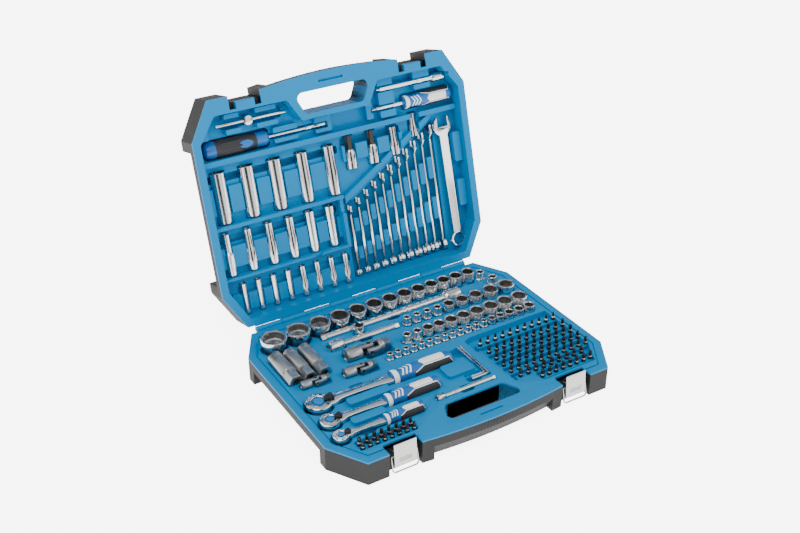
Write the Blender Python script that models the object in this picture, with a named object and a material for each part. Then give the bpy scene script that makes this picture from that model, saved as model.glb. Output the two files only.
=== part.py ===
"""A socket wrench set in a hinged moulded case, standing open with every tool in its place.

Sizes are written in millimetres and scaled once, as each mesh is made.
Places are given the way the case is laid out: x to the right, s forward from the hinge axis,
and h up from the rim of the base. The lid is drawn shut, with h as the depth above its rim,
and its parent empty turns it open about the hinge axis.
"""

import math

import bmesh
import bpy
from mathutils import Matrix, Vector

MM = 0.001
GAP = 0.3                   # air between neighbouring pieces

# Case
CASE_W = 470.0
BACK_S = 6.7                # hinge axis to the back edge
FRONT_S = 355.4             # hinge axis to the front edge
BACK_CUT = (31.0, 55.3)     # corner cuts, across and along
FRONT_CUT = (33.5, 56.4)
BULGE = 7.6                 # how far the carrying edge bows out
BULGE_HALF = 116.0
BASE_D = 38.0
LID_D = 48.0
BAND = 15.6                 # upright band of the shells, above their taper
DRAFT = ((0.5357, 0.594), (0.3704, 0.3974))  # lean of the base's and the lid's walls, outside and in, per mm
WALL = 2.2                  # shell wall
SHEET = 1.6                 # tray wall
FLANGE = 2.5                # tray rim
RECESS_S = 331.0            # front of the lid's recess
RIM_W = 12.0                # width of the lid's rim
OPEN_DEG = 105.5            # how far the lid stands open
HINGE_Y = 181.0             # hinge axis behind the origin

# Handle opening, the same in both halves
GRIP_INNER = (304.0, 50.0)  # s and half width of its inner edge
GRIP_OUTER = (337.0, 66.0)
GRIP_R = 9.0

# Hinge
PIN_R = 1.6
KNUCKLE_R = 4.5
HINGE_X = (-193.0, 190.0)
KNUCKLES = 9

# Latches
LATCH_X = 143.5
LATCH_W = 35.0
NOTCH_W = 51.0
NOTCH_S = 335.0             # back of the notch in the rim
FACE_S = 344.5              # back of the recess in the front face
LEVER_S = 353.4             # middle of the lever plate
PIVOT_IN = 4.0              # the lever's pivot, behind its plate
LEVER_H = -5.5
LEVER_TOP = 14.0            # lever above its pivot
LEVER_LEN = 21.0            # and below it
LEVER_T = 1.4
CHEEK = 7.0                 # how far the lever's sides fold back
TRUNNION_R = 1.5
LUG_R = 3.0
LUG_HALF = 13.5
LEDGE_H = -9.0              # ledge in the shell, under the notch
LEVER_TILT = 5.0
BAIL_DROP = 7.0             # bail pivot below the lever's
BAIL_LEN = 23.1
WIRE_R = 1.3
KEEPER_HALF = 15.0          # block on the lid that the bail catches
KEEPER_S = 345.5
BAIL_TILT = 9.0

# Sockets standing in the base: diameters from left to right, first centre, s, top and height
HALF_OD = [40, 38, 34, 32, 29, 28, 26, 25, 24, 22, 22, 21.5, 21.5]
DRIVE_END_R = 13.2          # a wide socket's drive end, and the height where it widens
STEP_H = 9.5
HALF_ROW = {"x": -190.4, "s": 47.4, "lean": 0.6, "gap": 1.9, "top": 17.0, "tall": 37.5}
STAR_OD = [14, 14, 15, 16, 19, 22, 23, 26, 27]
STAR_ROW = {"x": 12.6, "s": 105.0, "lean": 0.0, "gap": 4.0, "top": 12.5, "tall": 26.0}
THREE_OD = [16, 17, 18, 19, 21, 22, 24, 25, 26, 26]
THREE_ROW = {"x": -12.3, "s": 145.5, "lean": 0.0, "gap": 1.7, "top": 13.5, "tall": 27.0}
QUARTER_OD = [11.5] * 9 + [12, 12, 12.5, 12.5, 13, 13.5, 16, 17, 18]
QUARTER_ROW = {"x": -57.5, "s": 171.0, "lean": 0.0, "gap": 2.3, "top": 9.6, "tall": 23.0}

# Deep sockets lying in the lid: diameters, first centre, pitch, s range, and depth of their tops
DEEP_HALF = {"od": [24, 24, 23, 20, 19], "x": -197.8, "pitch": 46.2, "s": (167.0, 245.0), "top": 17.0}
DEEP_THREE = {"od": [11, 12, 13, 14, 16, 17], "x": -204.3, "pitch": 35.4, "s": (87.0, 152.0), "top": 17.0}
DEEP_QUARTER = {"od": [9.5] * 4 + [9, 8.5, 8.5, 8.5], "x": -190.3, "pitch": 25.3, "s": (21.0, 69.0), "top": 22.0}
BIT_SOCKET = {"od": [18, 18, 18], "x": 24.5, "pitch": 40.0, "s": (200.0, 254.0), "top": 17.0}

# Ratchets: head place and radius, grip range, grip radius, drive square
RATCHETS = {
    "half": {"x": -199.5, "s": 216.0, "r": 19.0, "grip": (-84.0, 19.0), "grip_r": 13.6, "drive": 12.7},
    "three_eighths": {"x": -204.5, "s": 258.5, "r": 14.5, "grip": (-119.0, -30.0), "grip_r": 11.8, "drive": 9.5},
    "quarter": {"x": -207.5, "s": 294.5, "r": 11.5, "grip": (-141.0, -78.0), "grip_r": 9.4, "drive": 6.35},
}
HEAD_T = 0.62               # head thickness over its radius
HEAD_TOP = 8.0              # top face of a head above the rim
SHANK_SIDES = 10

# Universal joints: range along x, s, radius, drive square
SWIVELS = {
    "half": {"x": (-113.5, -39.5), "s": 138.0, "r": 12.0, "drive": 12.7},
    "three_eighths": {"x": (-135.6, -82.6), "s": 174.0, "r": 8.6, "drive": 9.5},
    "quarter": {"x": (-201.8, -156.8), "s": 167.5, "r": 7.0, "drive": 6.35},
}
SWIVEL_H = 3.0

# Straight bars: x range, s, h, shaft radius, socket-end radius and length, which end is the socket
BARS = {
    "extension_250": {"x": (-121, 129), "s": 74.5, "h": 1.0, "r": 5.6, "end_r": 10.5, "end": 30, "left": False},
    "extension_125": {"x": (-122, -2), "s": 103.6, "h": 1.0, "r": 5.2, "end_r": 10.2, "end": 25, "left": True},
    "extension_quarter": {"x": (-52, 47), "s": 289.0, "h": 0.5, "r": 3.4, "end_r": 5.6, "end": 14, "left": True},
}
LID_BAR = {"x": (82, 207), "s": 313.0, "h": 20.0, "r": 4.4, "end_r": 7.0, "end": 25, "left": False}

PLUGS = {"x": (-203.0, -180.0, -156.5), "r": (12.0, 10.4, 10.4), "s": (86.0, 156.0), "h": 3.0}
ADAPTER = {"x": -63.0, "s": 89.2, "r": 8.0, "top": 15.0, "tall": 30.0}

# Hex keys: long leg place, across-flats, front end of the long leg, length, short leg
HEX_KEYS = [(46.0, 3.0, 276.0, 76.0, 30.0), (41.6, 2.5, 271.6, 70.0, 24.0)]
HEX_H = 1.0

# Tools in the lid
TEE = {"x": (-189.9, -76.6), "s": 313.0, "h": 17.0, "r": 3.1, "slider": -139.3, "slider_r": 7.0, "drive": 6.35}
DRIVER = {"x": (-211.0, -107.0), "s": 279.0, "h": 29.0, "r": 13.6, "shaft": -44.0, "sleeve": -10.0}
SPINNER = {"x": (128.5, 217.0), "s": 283.5, "h": 21.5, "r": 12.0, "shaft": 70.5}
WRENCHES = {"x": 8.7, "pitch": 16.5, "count": 11, "ring_s": 23.8, "len": 118.0, "step": 9.6, "top": 21.5}
BIG_WRENCH = {"ring": (197.0, 39.4), "jaw": (193.9, 233.0), "ring_r": 13.5, "jaw_r": 17.5, "top": 16.0, "t": 7.0}

# Tray pockets: x range, s range and depth. The rows and tools above set what goes in them.
BIT_FIELD = {"x": (67.0, 221.0), "s": (187.0, 312.0), "deep": 9.0}
BIT_RACKS = [{"x": (102.0, 200.0), "s": (306.0, 331.0), "deep": 9.0},
             {"x": (-198.0, -107.0), "s": (309.0, 330.5), "deep": 9.0}]
LID_STEP = 84.0             # the lid's floor is deeper behind this line
LID_DEEP = 22.0
LID_PANEL = 16.0

FINISHES = {
    "blue_plastic": ((0.0, 0.32, 0.66), 0.45, 0.0),
    "black_plastic": ((0.045, 0.04, 0.04), 0.6, 0.0),
    "chrome": ((0.8, 0.8, 0.8), 0.2, 1.0),
    "steel": ((0.7, 0.7, 0.7), 0.3, 1.0),
    "grip_blue": ((0.02, 0.15, 0.5), 0.4, 0.0),
    "button_blue": ((0.0, 0.35, 0.7), 0.35, 0.0),
    "black_steel": ((0.05, 0.05, 0.05), 0.4, 0.6),
}


def clear_scene():
    for obj in list(bpy.data.objects):
        bpy.data.objects.remove(obj, do_unlink=True)


def collection(name):
    group = bpy.data.collections.new(name)
    bpy.context.scene.collection.children.link(group)
    return group


clear_scene()
PARTS = collection("socket_wrench_set")
CUTTERS = collection("cutters")


def finish_material(name):
    colour, roughness, metallic = FINISHES[name]
    material = bpy.data.materials.new(name)
    material.use_nodes = True
    shader = material.node_tree.nodes["Principled BSDF"]
    shader.inputs["Base Color"].default_value = (*colour, 1.0)
    shader.inputs["Roughness"].default_value = roughness
    shader.inputs["Metallic"].default_value = metallic
    return material


MATERIALS = {name: finish_material(name) for name in FINISHES}


# ---------------------------------------------------------------- shapes

def at(x, s, h):
    """A point of the case layout as a vector, in millimetres from the hinge axis."""
    return Vector((x, -s, h))


def shape(bm):
    """A new work object from a bmesh, kept with the cutters until it is finished."""
    bmesh.ops.recalc_face_normals(bm, faces=bm.faces)
    bmesh.ops.scale(bm, vec=(MM, MM, MM), verts=bm.verts)
    mesh = bpy.data.meshes.new("shape")
    bm.to_mesh(mesh)
    bm.free()
    obj = bpy.data.objects.new("shape", mesh)
    obj.display_type = "WIRE"
    obj.hide_render = True
    CUTTERS.objects.link(obj)
    return obj


def box(x, s, h):
    """A box from its three ranges."""
    bm = bmesh.new()
    bmesh.ops.create_cube(bm, size=1.0)
    size = Vector((x[1] - x[0], s[1] - s[0], h[1] - h[0]))
    bmesh.ops.scale(bm, vec=size, verts=bm.verts)
    middle = at((x[0] + x[1]) / 2, (s[0] + s[1]) / 2, (h[0] + h[1]) / 2)
    bmesh.ops.translate(bm, vec=middle, verts=bm.verts)
    return shape(bm)


def rod(radius, start, end, sides=12, end_radius=None):
    """A round bar between two points."""
    axis = end - start
    bm = bmesh.new()
    turn = Vector((0, 0, 1)).rotation_difference(axis).to_matrix().to_4x4()
    bmesh.ops.create_cone(bm, cap_ends=True, segments=sides, radius1=radius,
                          radius2=radius if end_radius is None else end_radius, depth=axis.length,
                          matrix=Matrix.Translation((start + end) / 2) @ turn)
    return shape(bm)


def turned(profile, start, direction, sides=12, flatten=1.0):
    """A profile of (radius, distance) spun about a line; flatten squeezes it upright."""
    bm = bmesh.new()
    verts = [bm.verts.new((radius, 0.0, along)) for radius, along in profile]
    edges = [bm.edges.new(pair) for pair in zip(verts, verts[1:])]
    bmesh.ops.spin(bm, geom=verts + edges, cent=(0, 0, 0), axis=(0, 0, 1), dvec=(0, 0, 0),
                   angle=math.tau, steps=sides, use_merge=True)
    bmesh.ops.remove_doubles(bm, verts=bm.verts, dist=0.001)
    turn = Vector((0, 0, 1)).rotation_difference(Vector(direction)).to_matrix().to_4x4()
    squeeze = Matrix.Scale(flatten, 4, Vector((0, 0, 1)))
    bmesh.ops.transform(bm, matrix=Matrix.Translation(start) @ squeeze @ turn, verts=bm.verts)
    return shape(bm)


def prism(outline, low, high, low_outline=None):
    """An outline of (x, s) points between two heights, drafted when the low outline differs."""
    bm = bmesh.new()
    top = bm.faces.new([bm.verts.new(at(x, s, high)) for x, s in outline])
    made = bmesh.ops.extrude_face_region(bm, geom=[top])["geom"]
    for vert in (item for item in made if isinstance(item, bmesh.types.BMVert)):
        place = min(range(len(outline)), key=lambda i: (vert.co - at(*outline[i], high)).length)
        vert.co = at(*(low_outline or outline)[place], low)
    return shape(bm)


def plate_on_edge(outline, x):
    """An outline of (s, h) points given its thickness along x."""
    bm = bmesh.new()
    face = bm.faces.new([bm.verts.new(at(x[0], s, h)) for s, h in outline])
    made = bmesh.ops.extrude_face_region(bm, geom=[face])["geom"]
    bmesh.ops.translate(bm, vec=(x[1] - x[0], 0, 0),
                        verts=[item for item in made if isinstance(item, bmesh.types.BMVert)])
    return shape(bm)


def combine(target, tools, operation):
    """Applies one exact boolean for each tool and removes the tools."""
    for tool in tools:
        step = target.modifiers.new("combine", "BOOLEAN")
        step.operation = operation
        step.solver = "EXACT"
        step.object = tool
        graph = bpy.context.evaluated_depsgraph_get()
        mesh = bpy.data.meshes.new_from_object(target.evaluated_get(graph))
        bm = bmesh.new()
        bm.from_mesh(mesh)
        bmesh.ops.remove_doubles(bm, verts=bm.verts, dist=0.002 * MM)
        bmesh.ops.dissolve_degenerate(bm, edges=bm.edges, dist=0.002 * MM)
        bm.to_mesh(mesh)
        bm.free()
        target.modifiers.clear()
        target.data = mesh
        bpy.data.objects.remove(tool, do_unlink=True)
    return target


def fuse(target, *tools):
    return combine(target, tools, "UNION")


def cut(target, *tools):
    return combine(target, tools, "DIFFERENCE")


def keep_common(target, tool):
    return combine(target, [tool], "INTERSECT")


def bundle(shapes):
    """Several shapes that don't touch, as one object."""
    first, *others = shapes
    bm = bmesh.new()
    for obj in shapes:
        bm.from_mesh(obj.data)
    bm.to_mesh(first.data)
    bm.free()
    for obj in others:
        bpy.data.objects.remove(obj, do_unlink=True)
    return first


def done(obj, name, finish, frame, pivot=None):
    """Names a finished piece, hangs it on its frame, and puts its origin on its pivot."""
    if pivot is not None:
        obj.data.transform(Matrix.Translation(-pivot * MM))
        obj.location = pivot * MM
    obj.name = name
    obj.data.name = name
    obj.parent = frame
    obj.display_type = "TEXTURED"
    obj.hide_render = False
    CUTTERS.objects.unlink(obj)
    PARTS.objects.link(obj)
    obj.data.materials.clear()
    obj.data.materials.append(MATERIALS[finish])
    obj.data.shade_smooth()
    obj.data.set_sharp_from_angle(angle=math.radians(35))
    return obj


def frame_at(name, place, turn=0.0):
    """An empty that carries pieces; turn is about x, in degrees."""
    empty = bpy.data.objects.new(name, None)
    empty.location = place
    empty.rotation_euler = (math.radians(turn), 0, 0)
    PARTS.objects.link(empty)
    return empty


# ---------------------------------------------------------------- outlines

def inset(outline, depth):
    """The outline moved in by a depth, edge by edge; a negative depth moves it out."""
    points = [Vector(p) for p in outline]
    area = sum(a.x * b.y - b.x * a.y for a, b in zip(points, points[1:] + points[:1]))
    side = 1.0 if area > 0 else -1.0
    moved = []
    for before, here, after in zip(points[-1:] + points[:-1], points, points[1:] + points[:1]):
        into = (here - before).normalized()
        away = (after - here).normalized()
        normal_in = Vector((-into.y, into.x)) * side
        normal_out = Vector((-away.y, away.x)) * side
        mitre = (normal_in + normal_out) / (1.0 + normal_in.dot(normal_out))
        moved.append(tuple(here + mitre * depth))
    return moved


def rounded(outline, radius, steps=3):
    """The outline with each corner turned into an arc."""
    result = []
    points = [Vector(p) for p in outline]
    for before, here, after in zip(points[-1:] + points[:-1], points, points[1:] + points[:1]):
        back = (before - here).normalized()
        on = (after - here).normalized()
        half = math.acos(max(-1.0, min(1.0, back.dot(on)))) / 2
        centre = here + (back + on).normalized() * radius / math.sin(half)
        first = here + back * radius / math.tan(half) - centre
        last = here + on * radius / math.tan(half) - centre
        for i in range(steps + 1):
            blend = first.lerp(last, i / steps).normalized() * radius
            result.append(tuple(centre + blend))
    return result


def case_outline():
    half = CASE_W / 2
    right = [(half - BACK_CUT[0], BACK_S), (half, BACK_S + BACK_CUT[1]),
             (half, FRONT_S - FRONT_CUT[1]), (half - FRONT_CUT[0], FRONT_S)]
    steps = 6
    bow = []
    for i in range(steps + 1):
        x = BULGE_HALF * (1 - 2 * i / steps)
        bow.append((x, FRONT_S + BULGE * (1 - (x / BULGE_HALF) ** 2)))
    left = [(-x, s) for x, s in reversed(right)]
    return right + bow + left


OUTLINE = case_outline()
HANDLE_HOLE = rounded([(-GRIP_INNER[1], GRIP_INNER[0]), (GRIP_INNER[1], GRIP_INNER[0]),
                       (GRIP_OUTER[1], GRIP_OUTER[0]), (-GRIP_OUTER[1], GRIP_OUTER[0])], GRIP_R)


def recess_outline():
    """The lid's recess: inside its rim, and behind the handle opening."""
    half = CASE_W / 2 - RIM_W
    clear = RIM_W - 4.0
    side = [(half - BACK_CUT[0] + 5, BACK_S + RIM_W), (half, BACK_S + BACK_CUT[1] + 6),
            (half, FRONT_S - FRONT_CUT[1] - 6), (half - FRONT_CUT[0] + 5, RECESS_S),
            (GRIP_OUTER[1] + clear + 4, RECESS_S), (GRIP_INNER[1] + clear, GRIP_INNER[0] - clear)]
    return side + [(-x, s) for x, s in reversed(side)]


def both_sides(make):
    return [make(-1.0), make(1.0)]


def latch_notch(side, grow, h, s):
    x = side * LATCH_X
    return box((x - NOTCH_W / 2 - grow, x + NOTCH_W / 2 + grow), (s - grow, FRONT_S + 20), h)


# ---------------------------------------------------------------- case shells

def shell(depth, sign, name, frame):
    """One hollow outer shell. sign is -1 for the base, whose floor is down, and 1 for the lid."""
    rim = FLANGE + GAP
    far = sign * depth
    near = sign * rim

    def body(wall):
        """The shell's solid form, pulled in by a wall."""
        end = far - sign * wall
        lean = DRAFT[0 if sign < 0 else 1][1 if wall else 0] * (abs(end) - BAND)
        straight = prism(inset(OUTLINE, wall), *sorted((near * (0 if wall else 1), sign * BAND)))
        wide, narrow = inset(OUTLINE, wall), inset(OUTLINE, wall + lean)
        if sign < 0:
            return fuse(straight, prism(wide, end, -BAND + 0.01, narrow))
        return fuse(straight, prism(narrow, BAND - 0.01, end, wide))

    def foot(side, s, reach):
        """A corner left at full depth, without the taper."""
        block = box(tuple(sorted((side * CASE_W, side * reach))), s,
                    tuple(sorted((sign * (BAND - 2), far))))
        full = prism(OUTLINE, *sorted((far, near)))
        return keep_common(full, block)

    outer = body(0.0)
    for side in (-1.0, 1.0):
        fuse(outer, foot(side, (FRONT_S - 72, FRONT_S + 20), 100.0), foot(side, (0, 78), 165.0))
    inner = body(WALL)
    cut(inner, prism(inset(HANDLE_HOLE, -WALL), *sorted((far * 1.1, -far))))
    ledge = -sign * LEDGE_H
    notch_h = tuple(sorted((ledge, -far))), tuple(sorted((far * 1.1, -far)))
    for side in (-1.0, 1.0):
        cut(inner, latch_notch(side, WALL, tuple(sorted((ledge + sign * WALL, -far))), NOTCH_S))
        cut(inner, latch_notch(side, WALL, notch_h[1], FACE_S))
        cut(outer, latch_notch(side, 0.0, notch_h[0], NOTCH_S))
        cut(outer, latch_notch(side, 0.0, notch_h[1], FACE_S))
    cut(outer, inner, prism(HANDLE_HOLE, *sorted((far * 1.1, -far))))
    if sign < 0:
        for side in (-1.0, 1.0):
            x, pivot_s = side * LATCH_X, LEVER_S - PIVOT_IN
            across = (x - LUG_HALF, x + LUG_HALF)
            lug = box(across, (FACE_S - 3, pivot_s), (LEDGE_H - 1, LEVER_H + LUG_R))
            fuse(lug, rod(LUG_R, at(across[0], pivot_s, LEVER_H), at(across[1], pivot_s, LEVER_H)))
            cut(lug, rod(TRUNNION_R + GAP, at(across[0] - 1, pivot_s, LEVER_H), at(across[1] + 1, pivot_s, LEVER_H)))
            fuse(outer, lug)
    return done(outer, name, "black_plastic", frame)


def knuckles(first, h, direction):
    """Every other knuckle of the hinge, each with a web to its tray's flange."""
    length = (HINGE_X[1] - HINGE_X[0]) / KNUCKLES
    made = []
    for i in range(first, KNUCKLES, 2):
        x = HINGE_X[0] + i * length
        x = (x + GAP, x + length - GAP)
        barrel = rod(KNUCKLE_R, at(x[0], 0, 0), at(x[1], 0, 0))
        web = box(x, (0.0, BACK_S + 3), tuple(sorted((h, h + direction * FLANGE))))
        made.append(fuse(barrel, web))
    return made


def tray(regions, sign, name, frame, first_knuckle):
    """A thin moulded tray: its rim plate with every recess sunk into it.

    Each region is an outline and the heights of its mouth and floor.
    """
    face = 0.0 if sign < 0 else GAP
    plate = prism(OUTLINE, *sorted((face, face + sign * FLANGE)))
    for outline, floor in regions:
        fuse(plate, prism(inset(outline, -SHEET), *sorted((face + sign * 0.5, floor + sign * SHEET))))
    for outline, floor in regions:
        cut(plate, prism(outline, *sorted((face - sign * 5, floor))))
    cut(plate, prism(HANDLE_HOLE, -5, 5))
    for side in (-1.0, 1.0):
        cut(plate, latch_notch(side, 0.0, (-6, 6), NOTCH_S))
        if sign > 0:
            keeper_x = side * LATCH_X
            across = (keeper_x - KEEPER_HALF, keeper_x + KEEPER_HALF)
            block = box(across, (NOTCH_S + GAP, KEEPER_S), (face, -LEDGE_H - GAP))
            fuse(plate, fuse(block, box(across, (NOTCH_S - 2, NOTCH_S + 2), (face, face + FLANGE))))
    for knuckle in knuckles(first_knuckle, face, sign):
        fuse(plate, knuckle)
    cut(plate, rod(PIN_R + GAP, at(HINGE_X[0] - 5, 0, 0), at(HINGE_X[1] + 5, 0, 0)))
    return done(plate, name, "blue_plastic", frame)


def rect(x, s):
    return [(x[0], s[0]), (x[1], s[0]), (x[1], s[1]), (x[0], s[1])]


def round_pocket(x, s, radius, sides=14):
    angles = [math.tau * i / sides for i in range(sides)]
    return [(x + radius * math.cos(a), s + radius * math.sin(a)) for a in angles]


def around(x, s, spare=1.5):
    return rect((x[0] - spare, x[1] + spare), (s[0] - spare, s[1] + spare))


# ---------------------------------------------------------------- socket rows

def row_centres(diameters, row):
    """Centres of a row whose sockets stand side by side with one gap between them."""
    x = row["x"]
    centres = []
    for i, diameter in enumerate(diameters):
        if i:
            x += (diameters[i - 1] + diameter) / 2 + row["gap"]
        centres.append((x, row["s"] + row["lean"] * (diameter - diameters[-1])))
    return centres


def standing_socket(x, s, radius, top, bottom, sides):
    """A socket on its square end, open at the top. A wide one narrows to its drive end."""
    bore = radius * 0.76
    deep = (top - bottom) * 0.45
    foot = min(radius, DRIVE_END_R)
    step = [] if foot == radius else [(foot, STEP_H - (radius - foot) * 0.5), (radius, STEP_H)]
    profile = [(0, bottom), (foot, bottom), *step, (radius, top), (bore, top), (bore, top - deep), (0, top - deep)]
    return turned(profile, at(x, s, 0), (0, 0, 1), sides)


def socket_row(name, diameters, row, sides, frame):
    """A row of sockets joined by the thin strip they stand on."""
    centres = row_centres(diameters, row)
    bottom = row["top"] - row["tall"]
    sockets = bundle([standing_socket(x, s, d / 2, row["top"], bottom, sides)
                      for d, (x, s) in zip(diameters, centres)])
    middle = (centres[0][1] + centres[-1][1]) / 2
    strip = box((centres[0][0], centres[-1][0]), (middle - 3, middle + 3), (bottom - 0.5, bottom + 1))
    return done(fuse(strip, sockets), name, "chrome", frame)


def row_pocket(diameters, row, spare=1.0):
    """The recess round a row, following it from its first socket to its last."""
    centres = row_centres(diameters, row)
    first, last = diameters[0], diameters[-1]
    x0 = centres[0][0] - first / 2 - spare
    x1 = centres[-1][0] + last / 2 + spare
    backs = [s - d / 2 - spare for d, (_, s) in zip(diameters, centres)]
    fronts = [s + d / 2 + spare for d, (_, s) in zip(diameters, centres)]
    outline = [(x0, backs[0]), (x0 + first, min(backs)), (x1, min(backs)),
               (x1, fronts[-1]), (x0 + first, max(fronts)), (x0, fronts[0])]
    return outline, row["top"] - row["tall"] - 0.5 - GAP


def lying_centres(group):
    return [group["x"] + i * group["pitch"] for i in range(len(group["od"]))]


def lying_row(name, group, sides, frame):
    """Deep sockets side by side in the lid, joined by a thin strip behind them."""
    tops = group["top"]
    made = []
    for x, d in zip(lying_centres(group), group["od"]):
        made.append(rod(d / 2, at(x, group["s"][0], tops + d / 2), at(x, group["s"][1], tops + d / 2), sides))
    deepest = tops + max(group["od"])
    shallow = tops + min(group["od"])
    middle = sum(group["s"]) / 2
    centres = lying_centres(group)
    strip = box((centres[0], centres[-1]), (middle - 3, middle + 3), (shallow - 1.5, deepest + 0.3))
    return done(fuse(strip, bundle(made)), name, "chrome", frame)


def lying_pockets(group, spare=1.5):
    """A trough for each deep socket, and one across them for the strip."""
    deepest = group["top"] + max(group["od"]) + 0.3 + GAP
    wide = max(group["od"]) / 2
    centres = lying_centres(group)
    return around((centres[0] - wide, centres[-1] + wide), group["s"], spare), deepest


# ---------------------------------------------------------------- ratchets

def ratchet(size, place):
    """A reversible ratchet on its side of the tray, head to the left, grip to the right."""
    r = place["r"]
    x, s = place["x"], place["s"]
    thick = r * 2 * HEAD_T * 0.62
    top, low = HEAD_TOP, HEAD_TOP - thick
    core = r * 0.58
    button = r * 0.40
    grip = place["grip"]
    grip_r = place["grip_r"]
    middle = (top + low) / 2
    shank_r = r * 0.34
    tang = grip[0] + (grip[1] - grip[0]) * 0.4

    head = turned([(core, low), (r * 0.92, low), (r, low + 1.5), (r, top - 1.5), (r * 0.92, top), (core, top),
                   (core, low)], at(x, s, 0), (0, 0, 1), 20)
    neck = rod(min(shank_r * 1.35, thick / 2 - 0.6), at(x + r * 0.6, s, middle), at(x + r * 2.1, s, middle), SHANK_SIDES, shank_r * 0.9)
    shank = rod(shank_r, at(x + r * 2.0, s, middle), at(tang, s, middle), SHANK_SIDES)
    fuse(head, neck, shank)
    lever_x = x + r * 0.8
    stem = r * 0.08
    cut(head, rod(stem + GAP, at(lever_x, s, top - 3), at(lever_x, s, top + 5), 8))
    frame = BASE_FRAME
    done(head, f"ratchet_{size}_body", "steel", frame)

    length = grip[1] - grip[0]
    handle = turned([(0, 0), (grip_r * 0.84, 0), (grip_r * 0.9, 3), (grip_r * 0.8, length * 0.16),
                     (grip_r * 0.94, length * 0.38), (grip_r, length * 0.7), (grip_r * 0.94, length - 5),
                     (grip_r * 0.7, length), (0, length)],
                    at(grip[0], s, 0), (1, 0, 0), 12)
    cut(handle, rod(shank_r + GAP, at(grip[0] - 5, s, middle), at(tang + GAP, s, middle), SHANK_SIDES))
    done(handle, f"ratchet_{size}_grip", "grip_blue", frame)

    half = place["drive"] / 2
    drive_top = top - 1.0
    well = 6.0
    drive = turned([(0, low - 1), (core - GAP, low - 1), (core - GAP, drive_top), (button, drive_top),
                    (button, drive_top - well), (0, drive_top - well)], at(x, s, 0), (0, 0, 1), 20)
    fuse(drive, box((x - half, x + half), (s - half, s + half), (low - 1 - place["drive"] * 0.85, low)))
    pivot = at(x, s, middle)
    done(drive, f"ratchet_{size}_drive", "chrome", frame, pivot)

    push = rod(button - GAP, at(x, s, drive_top - well + 3.0), at(x, s, top + 1.2), 16, (button - GAP) * 0.92)
    done(push, f"ratchet_{size}_release_button", "button_blue", frame, pivot)

    wing = r * 0.42
    lever = prism([(lever_x - wing * 0.75, s - wing * 0.35), (lever_x + wing * 0.9, s - wing),
                   (lever_x + wing * 0.9, s + wing), (lever_x - wing * 0.75, s + wing * 0.35)],
                  top + GAP, top + 3.0)
    fuse(lever, rod(stem, at(lever_x, s, top - 2.6), at(lever_x, s, top + 1), 8))
    done(lever, f"ratchet_{size}_reverse_lever", "black_steel", frame, at(lever_x, s, top))


def ratchet_pockets(place):
    """Room for the head and the turning drive, the shank, and the grip."""
    r, x, s = place["r"], place["x"], place["s"]
    low = HEAD_TOP - r * 2 * HEAD_T * 0.62
    drive_floor = low - 1 - place["drive"] * 0.85 - 1.0
    grip_r = place["grip_r"]
    return [(round_pocket(x, s, r + 2), drive_floor),
            (around((x + r * 0.5, place["grip"][0] + 3), (s - r * 0.55, s + r * 0.55)), low - 1.0),
            (around(place["grip"], (s - grip_r, s + grip_r)), -grip_r - GAP - 0.5)]


# ---------------------------------------------------------------- universal joints

def swivel(size, place):
    """A universal joint: socket yoke, cross and drive yoke. The socket is at the left."""
    (left, right), s, r = place["x"], place["s"], place["r"]
    h = SWIVEL_H
    length = right - left
    square = place["drive"]
    mid = left + length * 0.52
    gap = r * 0.52                   # half the space between a yoke's ears
    ear = r * 0.5                    # half a drive ear's width
    tongue = r * 0.38                # half a socket ear's, clear of the drive's ears when both axes turn
    base = r * 1.22                  # ears' root from the cross
    pin = r * 0.24
    frame = BASE_FRAME

    def pin_hole(axis):
        reach = Vector(axis) * r * 1.5
        return rod(pin + GAP, at(mid, s, h) - reach, at(mid, s, h) + reach, 10)

    socket = rod(r, at(left, s, h), at(mid - base, s, h), 14)
    half = square / 2
    cut(socket, box((left - 5, left + square), (s - half, s + half), (h - half, h + half)))
    forks = keep_common(rod(r, at(mid - base - 1, s, h), at(mid + ear, s, h), 14),
                        box((left, right), (s - tongue, s + tongue), (h - r, h + r)))
    cut(forks, box((mid - base, right), (s - r, s + r), (h - gap, h + gap)))
    fuse(socket, forks)
    cut(socket, pin_hole((0, 0, 1)))
    done(socket, f"swivel_{size}_socket_yoke", "chrome", frame)

    arm = r * 0.86
    cross = box((mid - pin * 1.5, mid + pin * 1.5), (s - gap + GAP, s + gap - GAP), (h - gap + GAP, h + gap - GAP))
    fuse(cross, rod(pin, at(mid, s, h - arm), at(mid, s, h + arm), 10),
         rod(pin, at(mid, s - arm, h), at(mid, s + arm, h), 10))
    pivot = at(mid, s, h)
    done(cross, f"swivel_{size}_cross", "black_steel", frame, pivot)

    drive = rod(r * 0.9, at(mid + base, s, h), at(right - square * 0.95, s, h), 14)
    fuse(drive, box((right - square * 0.95 - 1, right), (s - half, s + half), (h - half, h + half)))
    forks = keep_common(rod(r, at(mid - ear, s, h), at(mid + base + 1, s, h), 14),
                        box((left, right), (s - r, s + r), (h - ear, h + ear)))
    cut(forks, box((left, mid + base), (s - gap, s + gap), (h - r, h + r)))
    fuse(drive, forks)
    cut(drive, pin_hole((0, 1, 0)))
    done(drive, f"swivel_{size}_drive_yoke", "chrome", frame, pivot)


SWING_DEG = 10.0            # sideways swing left free in the tray


def swivel_pockets(place):
    """A trough for the socket, and a wider one in which the drive end can swing."""
    (left, right), s, r = place["x"], place["s"], place["r"]
    mid = left + (right - left) * 0.52
    swing = (right - mid) * math.sin(math.radians(SWING_DEG + 2)) + r
    floor = SWIVEL_H - r - GAP - 0.5
    return [(around((left, mid + 2), (s - r, s + r)), floor),
            (around((mid - r, right), (s - swing, s + swing)), floor)]


# ---------------------------------------------------------------- bars and drivers

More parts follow.
